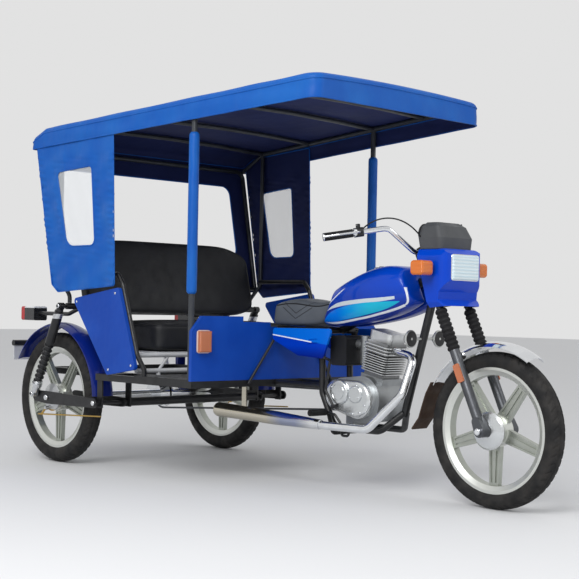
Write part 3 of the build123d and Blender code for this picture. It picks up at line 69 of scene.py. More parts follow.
def surface(name, grid, loop=(False, True), caps=(False, False), flip=False, body="chassis"):
    """Piece over a grid of points: every cell between two rows and two columns is one quad.
    loop joins the last row or column to the first, and caps close the first and last row
    with one face."""
    rows, cols = grid.shape[:2]
    index = np.arange(rows * cols).reshape(rows, cols)
    if loop[0]:
        index = np.vstack([index, index[:1]])
    if loop[1]:
        index = np.hstack([index, index[:, :1]])
    faces = cells_of(index).tolist()
    if caps[0]:
        faces.append(np.arange(cols).tolist())
    if caps[1]:
        faces.append(((rows - 1) * cols + np.arange(cols))[::-1].tolist())
    if flip:
        faces = [face[::-1] for face in faces]
    return mesh_piece(name, grid.reshape(-1, 3), faces, body)


def mesh_piece(name, points, faces, body):
    """Object from points and faces, smooth shaded, riding on a body."""
    mesh = bpy.data.meshes.new(name)
    mesh.from_pydata(points.tolist(), [], faces)
    mesh.validate()
    mesh.polygons.foreach_set("use_smooth", np.ones(len(mesh.polygons), bool))
    piece = bpy.data.objects.new(name, mesh)
    scene.collection.objects.link(piece)
    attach(piece, body)
    return piece


def thicken(piece, depth, offset, lined=0):
    """Gives a sheet its thickness, and its inside the next finish where it is lined."""
    wall = piece.modifiers.new("wall", "SOLIDIFY")
    wall.thickness, wall.offset, wall.material_offset = depth, offset, lined
    return piece


def cloth_area(grid):
    """Area of a grid of points that closes on itself: half the cross product of each cell's
    two diagonals."""
    grid = np.concatenate([grid, grid[:, :1]], 1)
    first, second = grid[1:, 1:] - grid[:-1, :-1], grid[1:, :-1] - grid[:-1, 1:]
    return float(np.linalg.norm(np.cross(first, second), axis=-1).sum() / 2)


ARC_POINTS = 9
LEAST_POINTS = 16


def rounded(corners, radii, step=0.006):
    """Closed outline with each corner replaced by an arc of its radius, as points about
    a step apart."""
    corners = np.array(corners, float)
    count = len(corners)
    radii = np.broadcast_to(radii, count)
    points = []
    for i in range(count):
        here, before, after = corners[i], corners[i - 1], corners[(i + 1) % count]
        a, b = unit(before - here), unit(after - here)
        half = np.arccos(np.clip(a @ b, -1, 1)) / 2
        reach = radii[i] / np.tan(half)
        middle = here + unit(a + b) * radii[i] / np.sin(half)
        first, last = here + a * reach - middle, here + b * reach - middle
        t = np.linspace(0, 1, ARC_POINTS)[:, None]
        points.append(middle + unit(first * (1 - t) + last * t) * radii[i])
    outline = np.vstack(points)
    return even(outline, max(LEAST_POINTS, int(length_of(outline) / step)))


def length_of(outline):
    """Length of a closed outline."""
    return np.linalg.norm(np.roll(outline, -1, 0) - outline, axis=1).sum()


def even(outline, count):
    """Closed outline resampled to evenly spaced points."""
    closed = np.vstack([outline, outline[:1]])
    run = np.append(0, np.cumsum(np.linalg.norm(np.diff(closed, axis=0), axis=1)))
    at = np.arange(count) / count * run[-1]
    return np.stack([np.interp(at, run, closed[:, k]) for k in range(closed.shape[1])], 1)


def spokes_to(outline, centre, angles):
    """Points where rays from a centre at given angles meet an outline that goes once round it."""
    offset = outline - centre
    angle = np.mod(np.arctan2(offset[:, 1], offset[:, 0]), TAU)
    order = np.argsort(angle)
    angle, outline = angle[order], outline[order]
    return np.stack([np.interp(angles, angle, outline[:, k], period=TAU) for k in (0, 1)], 1)


ROD_SIDES = 10


def rod(name, path, radius, body="chassis", closed=False, up=(0, 0, 1)):
    """Round bar: a circle of the given radius carried along a path of points."""
    ahead = np.roll(path, -1, 0) - np.roll(path, 1, 0)
    if not closed:
        ahead[0], ahead[-1] = path[1] - path[0], path[-1] - path[-2]
    ahead = unit(ahead)
    across = unit(np.cross(ahead, up))
    out = np.cross(across, ahead)
    turn = np.arange(ROD_SIDES)[:, None] / ROD_SIDES * TAU
    ring = across[:, None] * np.cos(turn) + out[:, None] * np.sin(turn)
    ends = (not closed, not closed)
    return surface(name, path[:, None] + ring * radius, (closed, True), ends, body=body)


def soft_box(count, power):
    """Rounded unit box: points of a cube's six gridded faces, each divided by the p-norm of
    its coordinates."""
    line = np.tan(np.linspace(-1, 1, count) * math.pi / 4)
    a, b = np.meshgrid(line, line, indexing="ij")
    one = np.ones_like(a)
    sides = [(one, a, b), (-one, b, a), (b, one, a), (a, -one, b), (a, b, one), (b, a, -one)]
    points = np.stack([np.stack(side, -1) for side in sides])
    points = points / (np.abs(points) ** power).sum(-1, keepdims=True) ** (1 / power)
    index = np.arange(6 * count * count).reshape(6, count, count)
    flat = np.round(points.reshape(-1, 3), 6)
    keys, inverse = np.unique(flat, axis=0, return_inverse=True)
    return keys, inverse.reshape(-1)[cells_of(index)]


def ease(low, high, x):
    """Smooth step from 0 at low to 1 at high."""
    t = np.clip((x - low) / (high - low), 0, 1)
    return t * t * (3 - 2 * t)


# Finishes

def linear(red, green, blue):
    """Screen colour, 0 to 255, as linear light."""
    c = arr(red, green, blue) / 255
    return tuple(np.where(c <= 0.04045, c / 12.92, ((c + 0.055) / 1.055) ** 2.4)) + (1.0,)


SOFT_STEP = 0.0012


class Nodes:
    """Node tree, with short ways to add nodes, join them and reckon with fields."""

    def __init__(self, tree):
        self.tree = tree

    def node(self, kind, **settings):
        """New node. Settings with a capital go to its sockets, the others to the node."""
        made = self.tree.nodes.new(kind)
        for key, value in settings.items():
            if key[0].isupper():
                self.put(made, key, value)
            else:
                setattr(made, key, value)
        return made

    def put(self, node, socket, value):
        if isinstance(value, bpy.types.NodeSocket):
            self.tree.links.new(value, node.inputs[socket])
        else:
            node.inputs[socket].default_value = value

    def math(self, operation, a, b=0.0, clamp=False):
        made = self.node("ShaderNodeMath", operation=operation, use_clamp=clamp)
        self.put(made, 0, a)
        self.put(made, 1, b)
        return made.outputs[0]

    def both(self, first, second):
        return self.math("MULTIPLY", first, second)

    def either(self, first, second):
        return self.math("MAXIMUM", first, second)

    def less(self, first, second):
        return self.math("SUBTRACT", first, second)

    def span(self, field, low, high, to_low=0.0, to_high=1.0):
        """Field rescaled from one range to another, held at the ends."""
        made = self.node("ShaderNodeMapRange")
        for socket, value in zip(("Value", "From Min", "From Max", "To Min", "To Max"),
                                 (field, low, high, to_low, to_high)):
            self.put(made, socket, value)
        return made.outputs[0]


class Finish(Nodes):
    """Material with one shader, and nodes that vary its colour, roughness and surface by place."""

    def __init__(self, name, colour, rough, metal=0.0, shine=0.5, **sockets):
        self.material = bpy.data.materials.new(name)
        self.material.use_nodes = True
        super().__init__(self.material.node_tree)
        self.shader = self.tree.nodes["Principled BSDF"]
        self.colour = linear(*colour)
        self.put(self.shader, "Base Color", self.colour)
        self.put(self.shader, "Roughness", rough)
        self.put(self.shader, "Metallic", metal)
        self.put(self.shader, "Specular IOR Level", shine)
        for socket, value in sockets.items():
            self.put(self.shader, socket.replace("_", " ").title().replace("Ior", "IOR"), value)
        self.place = self.node("ShaderNodeTexCoord").outputs["Object"]
        self.bumped = None

    def noise(self, scale, detail, stretch=(1, 1, 1)):
        """Cloudy field between 0 and 1 at a scale per metre."""
        at = self.node("ShaderNodeMapping", Vector=self.place, Scale=stretch).outputs["Vector"]
        return self.node("ShaderNodeTexNoise", Vector=at, Scale=scale, Detail=detail).outputs["Fac"]

    def cells(self, scale):
        """Distance field of scattered cells, as in grained leather."""
        field = self.node("ShaderNodeTexVoronoi", Vector=self.place, Scale=scale)
        return field.outputs["Distance"]

    def waves(self, axis, scale):
        """Field of even ribs along an axis."""
        field = self.node("ShaderNodeTexWave", bands_direction=axis, Vector=self.place, Scale=scale)
        return field.outputs["Fac"]

    def axis(self, which):
        """One coordinate in metres; WIDE is the distance from the middle plane."""
        if which == "WIDE":
            return self.math("ABSOLUTE", self.axis("Y"))
        return self.node("ShaderNodeSeparateXYZ", Vector=self.place).outputs[which]

    def distance(self, which, centre):
        """Distance from a point, in the plane of Z and one other coordinate."""
        run = self.less(self.axis(which), centre[0])
        up = self.less(self.axis("Z"), centre[1])
        return self.math("SQRT", self.math("ADD", self.both(run, run), self.both(up, up)))

    def curve(self, field, points):
        """Value read off a smooth curve through (place, value) points."""
        place, value = np.array(points, float).T
        low, high = value.min(), value.max()
        line = self.node("ShaderNodeFloatCurve")
        run = (place - place[0]) / (place[-1] - place[0])
        at = np.stack([run, (value - low) / (high - low)], 1)
        knots = line.mapping.curves[0].points
        knots[0].location, knots[1].location = at[0], at[-1]
        for knot in at[1:-1]:
            knots.new(*knot)
        line.mapping.update()
        self.put(line, "Value", self.span(field, place[0], place[-1]))
        return self.span(line.outputs[0], 0.0, 1.0, low, high)

    def over(self, field, edge, soft=SOFT_STEP):
        """1 where a field is past an edge and 0 before it, with a narrow soft step."""
        past = self.math("DIVIDE", self.less(field, edge), soft)
        return self.math("ADD", past, 0.5, True)

    def within(self, field, low, high, soft=SOFT_STEP):
        """1 where a field lies between two edges."""
        return self.both(self.over(field, low, soft), self.over(high, field, soft))

    def stripe(self, field, middle, below, above):
        """1 in a band about a middle line, reaching below and above it."""
        return self.within(field, self.less(middle, below), self.math("ADD", middle, above))

    def metal(self, share, low, high):
        """Metal or not, by a share."""
        self.put(self.shader, "Metallic", self.span(share, 0.0, 1.0, low, high))
        return self

    def mix(self, share, first, second):
        made = self.node("ShaderNodeMix", data_type="RGBA")
        self.put(made, 0, share)
        self.put(made, 6, first)
        self.put(made, 7, second)
        return made.outputs[2]

    def tint(self, share, colour):
        """Lays a colour over what is there by a share."""
        self.colour = self.mix(share, self.colour, linear(*colour))
        self.put(self.shader, "Base Color", self.colour)
        return self

    def gloss(self, scale, low, high, stretch=(1, 1, 1)):
        """Roughness between two values, in clouds at a scale per metre."""
        cloud = self.noise(scale, 3.0, stretch)
        self.put(self.shader, "Roughness", self.span(cloud, 0.3, 0.7, low, high))
        return self

    def grain(self, scale, detail, depth, strength, stretch=(1, 1, 1)):
        """Cloudy relief of a depth in metres at a scale per metre."""
        return self.relief(self.noise(scale, detail, stretch), depth, strength)

    def relief(self, field, depth, strength):
        """Surface relief of a depth in metres from a field."""
        bump = self.node("ShaderNodeBump", Strength=strength, Distance=depth, Height=field)
        if self.bumped:
            self.put(bump, "Normal", self.bumped)
        self.bumped = bump.outputs["Normal"]
        self.put(self.shader, "Normal", self.bumped)
        return self


def wear(made, colour, scale, amount):
    """Cloudy ageing of the base colour."""
    return made.tint(made.span(made.noise(scale, 4.0), 0.4, 0.75, 0.0, amount), colour)


def canopy_vinyl():
    """Coated fabric: fine cross weave under the coat, broad soft creases, faded in places."""
    made = Finish("canopy_vinyl", (8, 84, 172), 0.5, shine=0.22,
                  coat_weight=0.05, coat_roughness=0.3)
    wear(made, (34, 112, 192), 5.0, 0.5)
    made.grain(5.0, 2.0, 0.014, 0.5, (1, 1, 0.35))
    made.grain(14.0, 1.0, 0.007, 0.45, (1.6, 1, 0.6))
    made.grain(23.0, 1.0, 0.004, 0.35, (1, 1, 0.5))
    made.grain(900.0, 1.0, 0.0003, 0.4)
    return made.gloss(11.0, 0.36, 0.6)


def lining_cloth():
    """Inside of the canopy: dull dark blue, darker than the outside."""
    made = Finish("canopy_lining", (34, 44, 92), 0.7, shine=0.2)
    wear(made, (22, 28, 66), 5.0, 0.5)
    made.grain(7.0, 2.0, 0.012, 0.6)
    return made.grain(700.0, 1.0, 0.0003, 0.4)


def panel_vinyl():
    """Padded panel covering of a deeper blue."""
    made = Finish("panel_vinyl", (6, 64, 162), 0.46, shine=0.2,
                  coat_weight=0.04, coat_roughness=0.3)
    wear(made, (26, 84, 186), 6.0, 0.45)
    made.grain(9.0, 2.0, 0.008, 0.5)
    made.grain(26.0, 2.0, 0.003, 0.4, (1, 1, 0.4))
    return made.grain(900.0, 1.0, 0.0003, 0.3)


def leatherette(name, colour, pale):
    """Grained upholstery: pebbled cells with slow sheen variation."""
    made = Finish(name, colour, 0.5, shine=0.35)
    wear(made, pale, 6.0, 0.4)
    made.relief(made.cells(420.0), 0.0006, 0.5)
    made.grain(16.0, 2.0, 0.004, 0.4)
    return made.gloss(20.0, 0.38, 0.58)


def saddle_hide():
    """Saddle covering: grained, with two stitched chevrons pressed into each flank."""
    made = leatherette("saddle_leatherette", (80, 85, 92), (112, 118, 126))
    run = made.math("ABSOLUTE", made.less(made.axis("X"), 0.142))
    rise = made.less(made.axis("Z"), made.both(run, 0.58))
    lines = made.either(made.within(rise, 0.7365, 0.7405, 0.0015),
                        made.within(rise, 0.7125, 0.7165, 0.0015))
    near = made.both(lines, made.over(0.085, run, 0.004))
    made.tint(made.both(near, 0.75), (28, 30, 34))
    return made.relief(made.less(1.0, near), 0.003, 0.6)


def gloss_paint(name, colour, deep, coat=0.2):
    """Sprayed lacquer with a faint orange-peel skin and a slow shift of tone."""
    made = Finish(name, colour, 0.3, shine=0.15, coat_weight=coat, coat_roughness=0.04)
    wear(made, deep, 4.0, 0.35)
    return made.grain(160.0, 1.0, 0.0004, 0.12)


# stripes of the tank in side view: (place along X, height), and for the nose (height, place)
SWEEP_TOP = ((0.28, 0.700), (0.306, 0.716), (0.371, 0.751), (0.521, 0.782), (0.633, 0.791),
             (0.753, 0.796))
SWEEP_LOW = ((0.28, 0.690), (0.307, 0.694), (0.466, 0.719), (0.59, 0.742), (0.678, 0.763),
             (0.753, 0.795))
GREY_TOP = ((0.329, 0.752), (0.382, 0.777), (0.423, 0.788), (0.549, 0.802), (0.677, 0.811),
            (0.81, 0.824))
GREY_LOW = ((0.329, 0.750), (0.382, 0.764), (0.555, 0.786), (0.677, 0.796), (0.81, 0.822))
WHITE_LOW = ((0.28, 0.702), (0.33, 0.699), (0.39, 0.7015), (0.45, 0.709), (0.51, 0.7186),
             (0.57, 0.7286), (0.63, 0.7414), (0.69, 0.7555), (0.75, 0.7745), (0.79, 0.797))
WHITE_NOSE = ((0.779, 0.760), (0.783, 0.768), (0.788, 0.7745), (0.796, 0.781), (0.807, 0.785),
              (0.82, 0.7855), (0.84, 0.7812), (0.86, 0.774), (0.88, 0.7655))


def tank_paint():
    """Tank lacquer: blue with painted shade low down, a cyan sweep, a grey stripe and white lines.
    """
    made = gloss_paint("tank_paint", (0, 66, 188), (0, 48, 164), 0.35)
    x, z = made.axis("X"), made.axis("Z")
    # painted shade: the tank darkened towards the bottom
    made.tint(made.both(made.over(0.80, z, 0.12), 0.7), (6, 26, 118))
    sweep = made.within(z, made.curve(x, SWEEP_LOW), made.curve(x, SWEEP_TOP))
    sweep = made.both(sweep, made.over(SWEEP_TOP[-1][0] - 0.001, x))
    made.tint(sweep, (2, 112, 218))
    made.tint(made.both(sweep, made.span(x, 0.40, 0.60)), (4, 176, 208))
    grey = made.within(z, made.curve(x, GREY_LOW), made.curve(x, GREY_TOP))
    grey = made.both(grey, made.over(0.735, x))
    made.tint(made.both(grey, made.over(x, GREY_TOP[0][0])), (196, 206, 212))
    slant = made.less(z, made.both(x, 0.6))
    slash = made.both(made.within(slant, 0.5735, 0.5795), made.within(x, 0.318, 0.445, 0.02))
    made.tint(slash, (226, 232, 240))
    low_line = made.both(made.stripe(z, made.curve(x, WHITE_LOW), 0.004, 0.004),
                         made.over(0.764, x))
    nose_line = made.both(made.stripe(x, made.curve(z, WHITE_NOSE), 0.0035, 0.0035),
                          made.within(z, 0.780, 0.852))
    flank = made.over(made.axis("WIDE"), 0.085, 0.01)
    return made.tint(made.both(made.either(low_line, nose_line), flank), (232, 236, 244))


def cover_paint():
    """Side cover lacquer: azure above a white line, deep blue below, and painted shade at the
    bottom.
    """
    made = gloss_paint("cover_paint", (0, 58, 186), (0, 42, 166))
    x, z = made.axis("X"), made.axis("Z")
    middle = made.less(0.6455, made.both(x, 0.106))
    made.tint(made.over(z, middle, 0.004), (2, 104, 214))
    line = made.both(made.stripe(z, middle, 0.003, 0.002), made.over(0.268, x, 0.01))
    made.tint(line, (236, 240, 246))
    # painted shade: the bottom of the cover darkened
    return made.tint(made.over(0.575, z, 0.05), (4, 26, 120))


def frame_paint(name, colour, dust):
    """Brushed-on frame enamel: cloudy dust, a fine grain and patchy gloss."""
    made = Finish(name, colour, 0.42, shine=0.4, coat_weight=0.2, coat_roughness=0.2)
    wear(made, dust, 12.0, 0.3)
    made.grain(120.0, 2.0, 0.0006, 0.3)
    return made.gloss(30.0, 0.3, 0.55)


def bright_metal(name, colour, rough, haze, stretch=(1, 1, 1)):
    """Plated or polished metal, hazed in patches."""
    made = Finish(name, colour, rough, 1.0)
    wear(made, haze, 18.0, 0.4)
    return made.gloss(40.0, rough * 0.6, rough * 1.5, stretch)


def exhaust_metal():
    """Plated pipe that turns to straw-coloured steel along the silencer, with a painted blue
    reflection where they meet.
    """
    made = bright_metal("exhaust_metal", (232, 234, 236), 0.14, (204, 206, 210), (1, 8, 8))
    x = made.axis("X")
    made.tint(made.over(0.34, x, 0.10), (206, 200, 184))
    # painted reflection: a blue tint where the pipe meets the silencer
    return made.tint(made.both(made.within(x, 0.17, 0.34, 0.09), 0.6), (120, 142, 196))


def cast_metal(name, colour, dark, rough=0.38, amount=0.3):
    """Cast aluminium: sand-grained skin, darker in cloudy patches."""
    made = Finish(name, colour, rough, 0.85)
    wear(made, dark, 22.0, amount)
    made.grain(500.0, 2.0, 0.0003, 0.2)
    return made.gloss(40.0, rough * 0.8, rough * 1.2)


def finned_metal():
    """Cylinder casting: bright fin edges with painted shade over the gaps between the fins, told
    apart by the distance from the cylinder's leaning axis."""
    made = cast_metal("fin_alloy", (216, 218, 218), (164, 164, 162), 0.34, 0.2)
    x, z = made.axis("X"), made.axis("Z")
    lean = made.both(made.less(z, 0.484), math.tan(math.radians(12)))
    run = made.less(made.less(x, 0.55475), lean)
    far = made.either(made.math("DIVIDE", made.math("ABSOLUTE", run), 0.068),
                      made.math("DIVIDE", made.axis("WIDE"), 0.071))
    # painted shade: the gaps deep between the fins are darkened where shadow falls
    deep = made.both(made.over(0.93, far, 0.2), made.over(0.63, z, 0.02))
    return made.tint(made.both(deep, 0.7), (58, 59, 60))


def wheel_metal(name, centre):
    """Cast wheel: machined bright rim and hub, and dull painted spokes between, told apart by
    the distance from the axle."""
    made = cast_metal(name, (176, 180, 172), (140, 140, 130), 0.36, 0.2)
    far = made.distance("X", centre)
    return made.tint(made.either(made.over(far, 0.214), made.over(0.066, far)), (214, 216, 211))


def ringed(name, colour, rim, centre, radius):
    """Round piece about a line along X: a bright rim and a bright middle on a dark face, alike
    on both sides."""
    made = Finish(name, colour, 0.34)
    wear(made, (52, 52, 54), 30.0, 0.3)
    far = made.distance("WIDE", centre)
    bright = made.either(made.over(far, radius), made.over(0.005, far))
    return made.tint(bright, rim).metal(bright, 0.0, 0.9)


def grip_rubber():
    """Moulded grip: close ribs round the bar."""
    made = rubber("grip_rubber", (18, 18, 20), (40, 40, 42))
    return made.relief(made.waves("Y", 45.0), 0.0015, 0.7)


def zoned(name, first, second, axis, edge, metals, rough):
    """Two finishes on one piece, parted by a plane: the second is past the edge along an axis."""
    made = Finish(name, first, rough)
    wear(made, tuple(0.7 * v for v in first), 20.0, 0.3)
    past = made.over(made.axis(axis), edge, 0.002)
    made.tint(past, second)
    made.grain(500.0, 2.0, 0.0003, 0.3)
    return made.metal(past, *metals)


def shock_finish():
    """Damper: black can and spring, bare metal foot and collar."""
    made = Finish("shock_finish", (22, 23, 26), 0.36)
    wear(made, (56, 56, 58), 18.0, 0.3)
    z = made.axis("Z")
    bare = made.either(made.over(0.385, z), made.within(z, 0.690, 0.712))
    return made.tint(bare, (214, 216, 218)).metal(bare, 0.0, 1.0)


def tail_finish():
    """Tail lamp: ribbed red lens at the rear, dark body with a white top strip, painted whiter as a
    highlight.
    """
    made = Finish("tail_finish", (30, 31, 34), 0.25, coat_weight=0.3)
    wear(made, (60, 60, 64), 30.0, 0.3)
    # white top strip, lightened as a painted highlight
    made.tint(made.over(made.axis("Z"), 0.738), (222, 224, 226))
    made.tint(made.over(-1.3843, made.axis("X"), 0.0006), (176, 16, 22))
    return made.relief(made.waves("Z", 60.0), 0.0008, 0.3)


def rubber(name, colour, dust):
    """Black rubber with a dusty bloom."""
    made = Finish(name, colour, 0.75, shine=0.3)
    wear(made, dust, 20.0, 0.35)
    made.grain(500.0, 2.0, 0.0004, 0.4)
    return made.gloss(30.0, 0.6, 0.85)


def moulded(name, colour, pale):
    """Moulded plastic with a fine spark-eroded grain."""
    made = Finish(name, colour, 0.5, shine=0.35)
    wear(made, pale, 15.0, 0.25)
    made.grain(900.0, 1.0, 0.0002, 0.5)
    return made.gloss(25.0, 0.42, 0.62)


def lamp_glass(name, colour, deep, ribs):
    """Coloured lamp lens with moulded ribs across it."""
    made = Finish(name, colour, 0.12, coat_weight=0.6, coat_roughness=0.05,
                  transmission_weight=0.2, ior=1.49)
    wave = made.waves("Z", ribs)
    return made.tint(made.span(wave, 0.2, 0.9, 0.0, 0.45), deep).relief(wave, 0.0012, 0.6)


def dress(piece, *finishes):
    """Gives a piece its finish, and a sheet a second one for its inside."""
    piece.data.materials.clear()
    for made in finishes:
        piece.data.materials.append(made.material)
    return piece


vinyl, lining = canopy_vinyl(), lining_cloth()
bench_hide = leatherette("bench_leatherette", (26, 27, 30), (48, 50, 54))
chrome = bright_metal("chrome", (236, 238, 240), 0.1, (206, 208, 212))
tyre_black = rubber("tyre_rubber", (26, 26, 27), (78, 74, 70))
black_plastic = moulded("black_plastic", (20, 21, 24), (44, 46, 50))

FINISHED = (
    (panel_vinyl(), "front_wall arm_panels"),
    (tank_paint(), "fuel_tank"),
    (cover_paint(), "side_covers"),
    (gloss_paint("cowl_paint", (0, 68, 196), (0, 46, 166)), "headlight_cowl"),
    (gloss_paint("fender_blue", (8, 34, 122), (4, 20, 84), 0.5), "rear_fenders"),
    (frame_paint("frame_black", (16, 17, 20), (48, 48, 50)),
     "bike_frame chassis_rails floor_plate shock_tower swing_arm foot_levers arm_hoops fork_crown"),
    (frame_paint("bench_white", (206, 208, 210), (160, 158, 154)), "bench_frame"),
    (frame_paint("pole_grey", (44, 48, 54), (72, 74, 78)), "cabin_frame"),
    (chrome, "handlebar front_fender rear_axle front_axle"),
    (exhaust_metal(), "exhaust"),
    (wheel_metal("front_cast_wheel", (FRONT_X, FRONT_R)), "front_rim"),
    (wheel_metal("rear_cast_wheel", (REAR_X, REAR_R)), "rear_rim_right rear_rim_left"),
    (cast_metal("cover_alloy", (214, 217, 218), (176, 178, 178), 0.22, 0.12),
     "engine_covers front_brake_plate"),
    (cast_metal("case_alloy", (160, 163, 165), (104, 106, 107), 0.38, 0.25),
     "engine_case carburettor"),
    (cast_metal("dark_alloy", (92, 94, 98), (56, 56, 58), 0.42),
     "fork_sliders drive_chain drive_sprocket"),
    (finned_metal(), "engine_cylinder"),
    (zoned("brake_metal", (196, 162, 86), (196, 198, 200), "Z", 0.2525, (0.9, 0.85), 0.34),
     "rear_brakes"),
    (zoned("lever_metal", (22, 23, 26), (216, 218, 220), "WIDE", 0.294, (0.0, 1.0), 0.3), "levers"),
    (zoned("bumper_black", (214, 216, 220), (18, 19, 22), "Z", 0.5462, (0.2, 0.0), 0.3),
     "rear_bumper"),
    (shock_finish(), "rear_shocks"),
    (rubber("soft_rubber", (18, 18, 20), (42, 42, 44)), "fork_gaiters foot_pegs"),
    (rubber("flap_rubber", (58, 42, 33), (90, 74, 60)), "front_flap"),
    (grip_rubber(), "grips"),
    (black_plastic, "air_box"),
    (moulded("hood_grey", (70, 72, 75), (92, 94, 97)), "instrument_hood"),
    (ringed("horn_black", (20, 21, 24), (200, 202, 200), (0.088, 0.645), 0.0315), "horns"),
    (lamp_glass("amber_lens", (238, 128, 26), (206, 86, 12), 60.0), "turn_lamps"),
    (lamp_glass("amber_reflector", (214, 128, 84), (188, 98, 56), 90.0),
     "wall_lamps fork_reflectors"),
    (lamp_glass("head_lens", (236, 250, 255), (186, 222, 240), 24.0), "headlight_lens"),
    (tail_finish(), "tail_lamps"),
)
for made, names in FINISHED:
    for name in names.split():
        dress(nodes[name], made)

# the tank's pressed sheet and the edges of the cowl, hood and wall are rounder than their solids
skin = nodes["fuel_tank"].modifiers.new("even_skin", "REMESH")
skin.mode, skin.voxel_size, skin.use_smooth_shade = "VOXEL", 0.005, True
press = nodes["fuel_tank"].modifiers.new("pressed_edges", "SMOOTH")
press.factor, press.iterations = 0.5, 36
EDGE_WIDTHS = {"headlight_cowl": 0.006, "instrument_hood": 0.003, "front_wall": 0.004}
for name, width in EDGE_WIDTHS.items():
    edge = nodes[name].modifiers.new("soft_edges", "BEVEL")
    edge.width, edge.segments = width, 3
    edge.limit_method, edge.angle_limit = "ANGLE", math.radians(20)

# Canopy: heights and widths of the roof along X, as the part's source has them

ROOF_X = (-0.05, 1.71)
ROOF_HALF = (0.673, 0.515)
ROOF_EDGE = (1.585, 1.672)
ROOF_CROWN, CROWN_HALF = 0.022, 0.7
CROWN_R = (CROWN_HALF ** 2 + ROOF_CROWN ** 2) / (2 * ROOF_CROWN)
SLOPE_FOOT, SLOPE_RISE = (-0.06, 1.546), 0.076 / 0.17
SAG = 0.011
ROUND_FROM, ROUND_DROP = 0.965, 0.022
VALANCE = 0.092
SKIN = 0.0028
BOWS = arr(0.15, 0.54, 1.028, 1.37, 1.66)
HALF_SLOPE = (ROOF_HALF[1] - ROOF_HALF[0]) / (ROOF_X[1] - ROOF_X[0])


def roof_half(x):
    """Half width of the roof at a station ahead of the rear axle."""
    return np.interp(x, ROOF_X, ROOF_HALF)


def roof_edge(x):
    """Height of the crown's chord at a station."""
    return np.interp(x, ROOF_X, ROOF_EDGE)


def roof_height(x, y):
    """Top of the roof: a shallow arc across, a rising line along, sloped down at the rear,
    sagging between the bows."""
    top = roof_edge(x) + ROOF_CROWN - CROWN_R + np.sqrt(CROWN_R ** 2 - y ** 2)
    slope = SLOPE_FOOT[1] + (x - SLOPE_FOOT[0]) * SLOPE_RISE
    bay = np.interp(x, np.append(ROOF_X[0], BOWS), np.arange(len(BOWS) + 1))
    sag = SAG * np.sin(bay * math.pi) ** 2 * (1 - np.abs(y / roof_half(x)) ** 6)
    return np.minimum(top - sag, slope)


def roof_cover():
    """Roof sheet: rings shrink from the plan's outline to its middle at the roof's height,
    and past the edge they run down the valance with shallow folds."""
    (rear, front), (rear_half, front_half) = ROOF_X, ROOF_HALF
    corners = [(rear, -rear_half), (front, -front_half), (front, front_half), (rear, rear_half)]
    plan = rounded(corners, [0.012, 0.06, 0.06, 0.012], 0.01)
    middle = arr(0.8, 0.0)
    rim = 1 - ROUND_FROM
    curl = np.sin(np.linspace(0.15, 1, 9) * math.pi / 2)
    share = np.append(np.linspace(0.01, ROUND_FROM, 40), 1 - rim * (1 - curl))[:, None, None]
    flat = middle + (plan - middle) * share
    past = np.clip((share[..., 0] - ROUND_FROM) / rim, 0, 1)
    round_over = ROUND_DROP * (1 - np.sqrt(1 - past ** 2))
    top = np.dstack([flat, roof_height(flat[..., 0], flat[..., 1]) - round_over])
    edge = top[-1]
    drop = np.linspace(0.05, 1, 14)[:, None]
    low = roof_edge(plan[:, 0]) - VALANCE
    along = np.linalg.norm(np.cumsum(np.roll(plan, -1, 0) - plan, axis=0), axis=1)
    ruffle = 0.0026 * np.sin(along * 26 + 3 * drop) * np.sin(along * 9.7 + 1) * drop
    flare = 0.0012 * ease(0.2, 1, drop)
    swell = (1 + np.sin(along * 8 - drop * 4.5 + np.sin(along * 3))) / 2
    fold = ruffle + flare + 0.0038 * np.sin(drop * math.pi) * swell
    skirt = np.dstack([edge[:, 0] + 0 * fold, edge[:, 1] + np.sign(plan[:, 1]) * fold,
                       edge[:, 2] * (1 - drop) + low * drop])
    grid = np.vstack([top, skirt])
    grid[..., 0] += REAR_X
    piece = surface("roof_cover", grid, caps=(True, False))
    return thicken(piece, SKIN, -1.0, 1), grid[-1], edge + arr(REAR_X, 0, 0), cloth_area(grid)


cover, hem_line, edge_line, cover_area = roof_cover()
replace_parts(dress(cover, vinyl, lining), "canopy_roof")

SEAM_INSET = arr(0, 0, 0.003)
WELT_R, ROOF_HEM_R, SIDE_HEM_R = 0.0035, 0.0032, 0.0028
hem = dress(rod("roof_hem", hem_line + SEAM_INSET, ROOF_HEM_R, closed=True), vinyl)
welt = dress(rod("roof_welt", edge_line - SEAM_INSET, WELT_R, closed=True), vinyl)

SIDE_GAP, SIDE_SINK, SIDE_SKIN = 0.0043, 0.001, SKIN * 0.6
FILM_SINK, FILM_SKIN = 0.0015, 0.0006
LEAN = math.sqrt(1 + HALF_SLOPE ** 2)


def on_side(flat, out, side):
    """Point of a side curtain: along the roof's taper and up, moved outwards."""
    run, up = flat[..., 0], flat[..., 1]
    x = REAR_X + run / LEAN + out * -HALF_SLOPE / LEAN
    y = SIDE_GAP - roof_half(0) + run * -HALF_SLOPE / LEAN - out / LEAN
    return np.stack([x, -side * y, up], -1)


SIDE_OUTLINE = rounded([(0.112, 0.852), (0.158, 0.816), (0.556, 0.846), (0.528, 1.588),
                        (0.112, 1.57), (-0.02, 1.515)], 0.012)
WINDOW = rounded([(0.135, 1.376), (0.386, 1.393), (0.418, 1.028), (0.219, 1.026)],
                 [0.02, 0.02, 0.03, 0.06])
WINDOW_MIDDLE = arr(0.285, 1.2)


def framed(inner, outer, middle, count, rows):
    """Flat grid of a sheet with an opening: straight lines from the opening's edge to the
    sheet's edge, and how far along them each row lies."""
    angle = np.arange(count) / count * TAU
    first, last = spokes_to(inner, middle, angle), spokes_to(outer, middle, angle)
    share = np.linspace(0, 1, rows)[:, None]
    return first * (1 - share[..., None]) + last * share[..., None], share


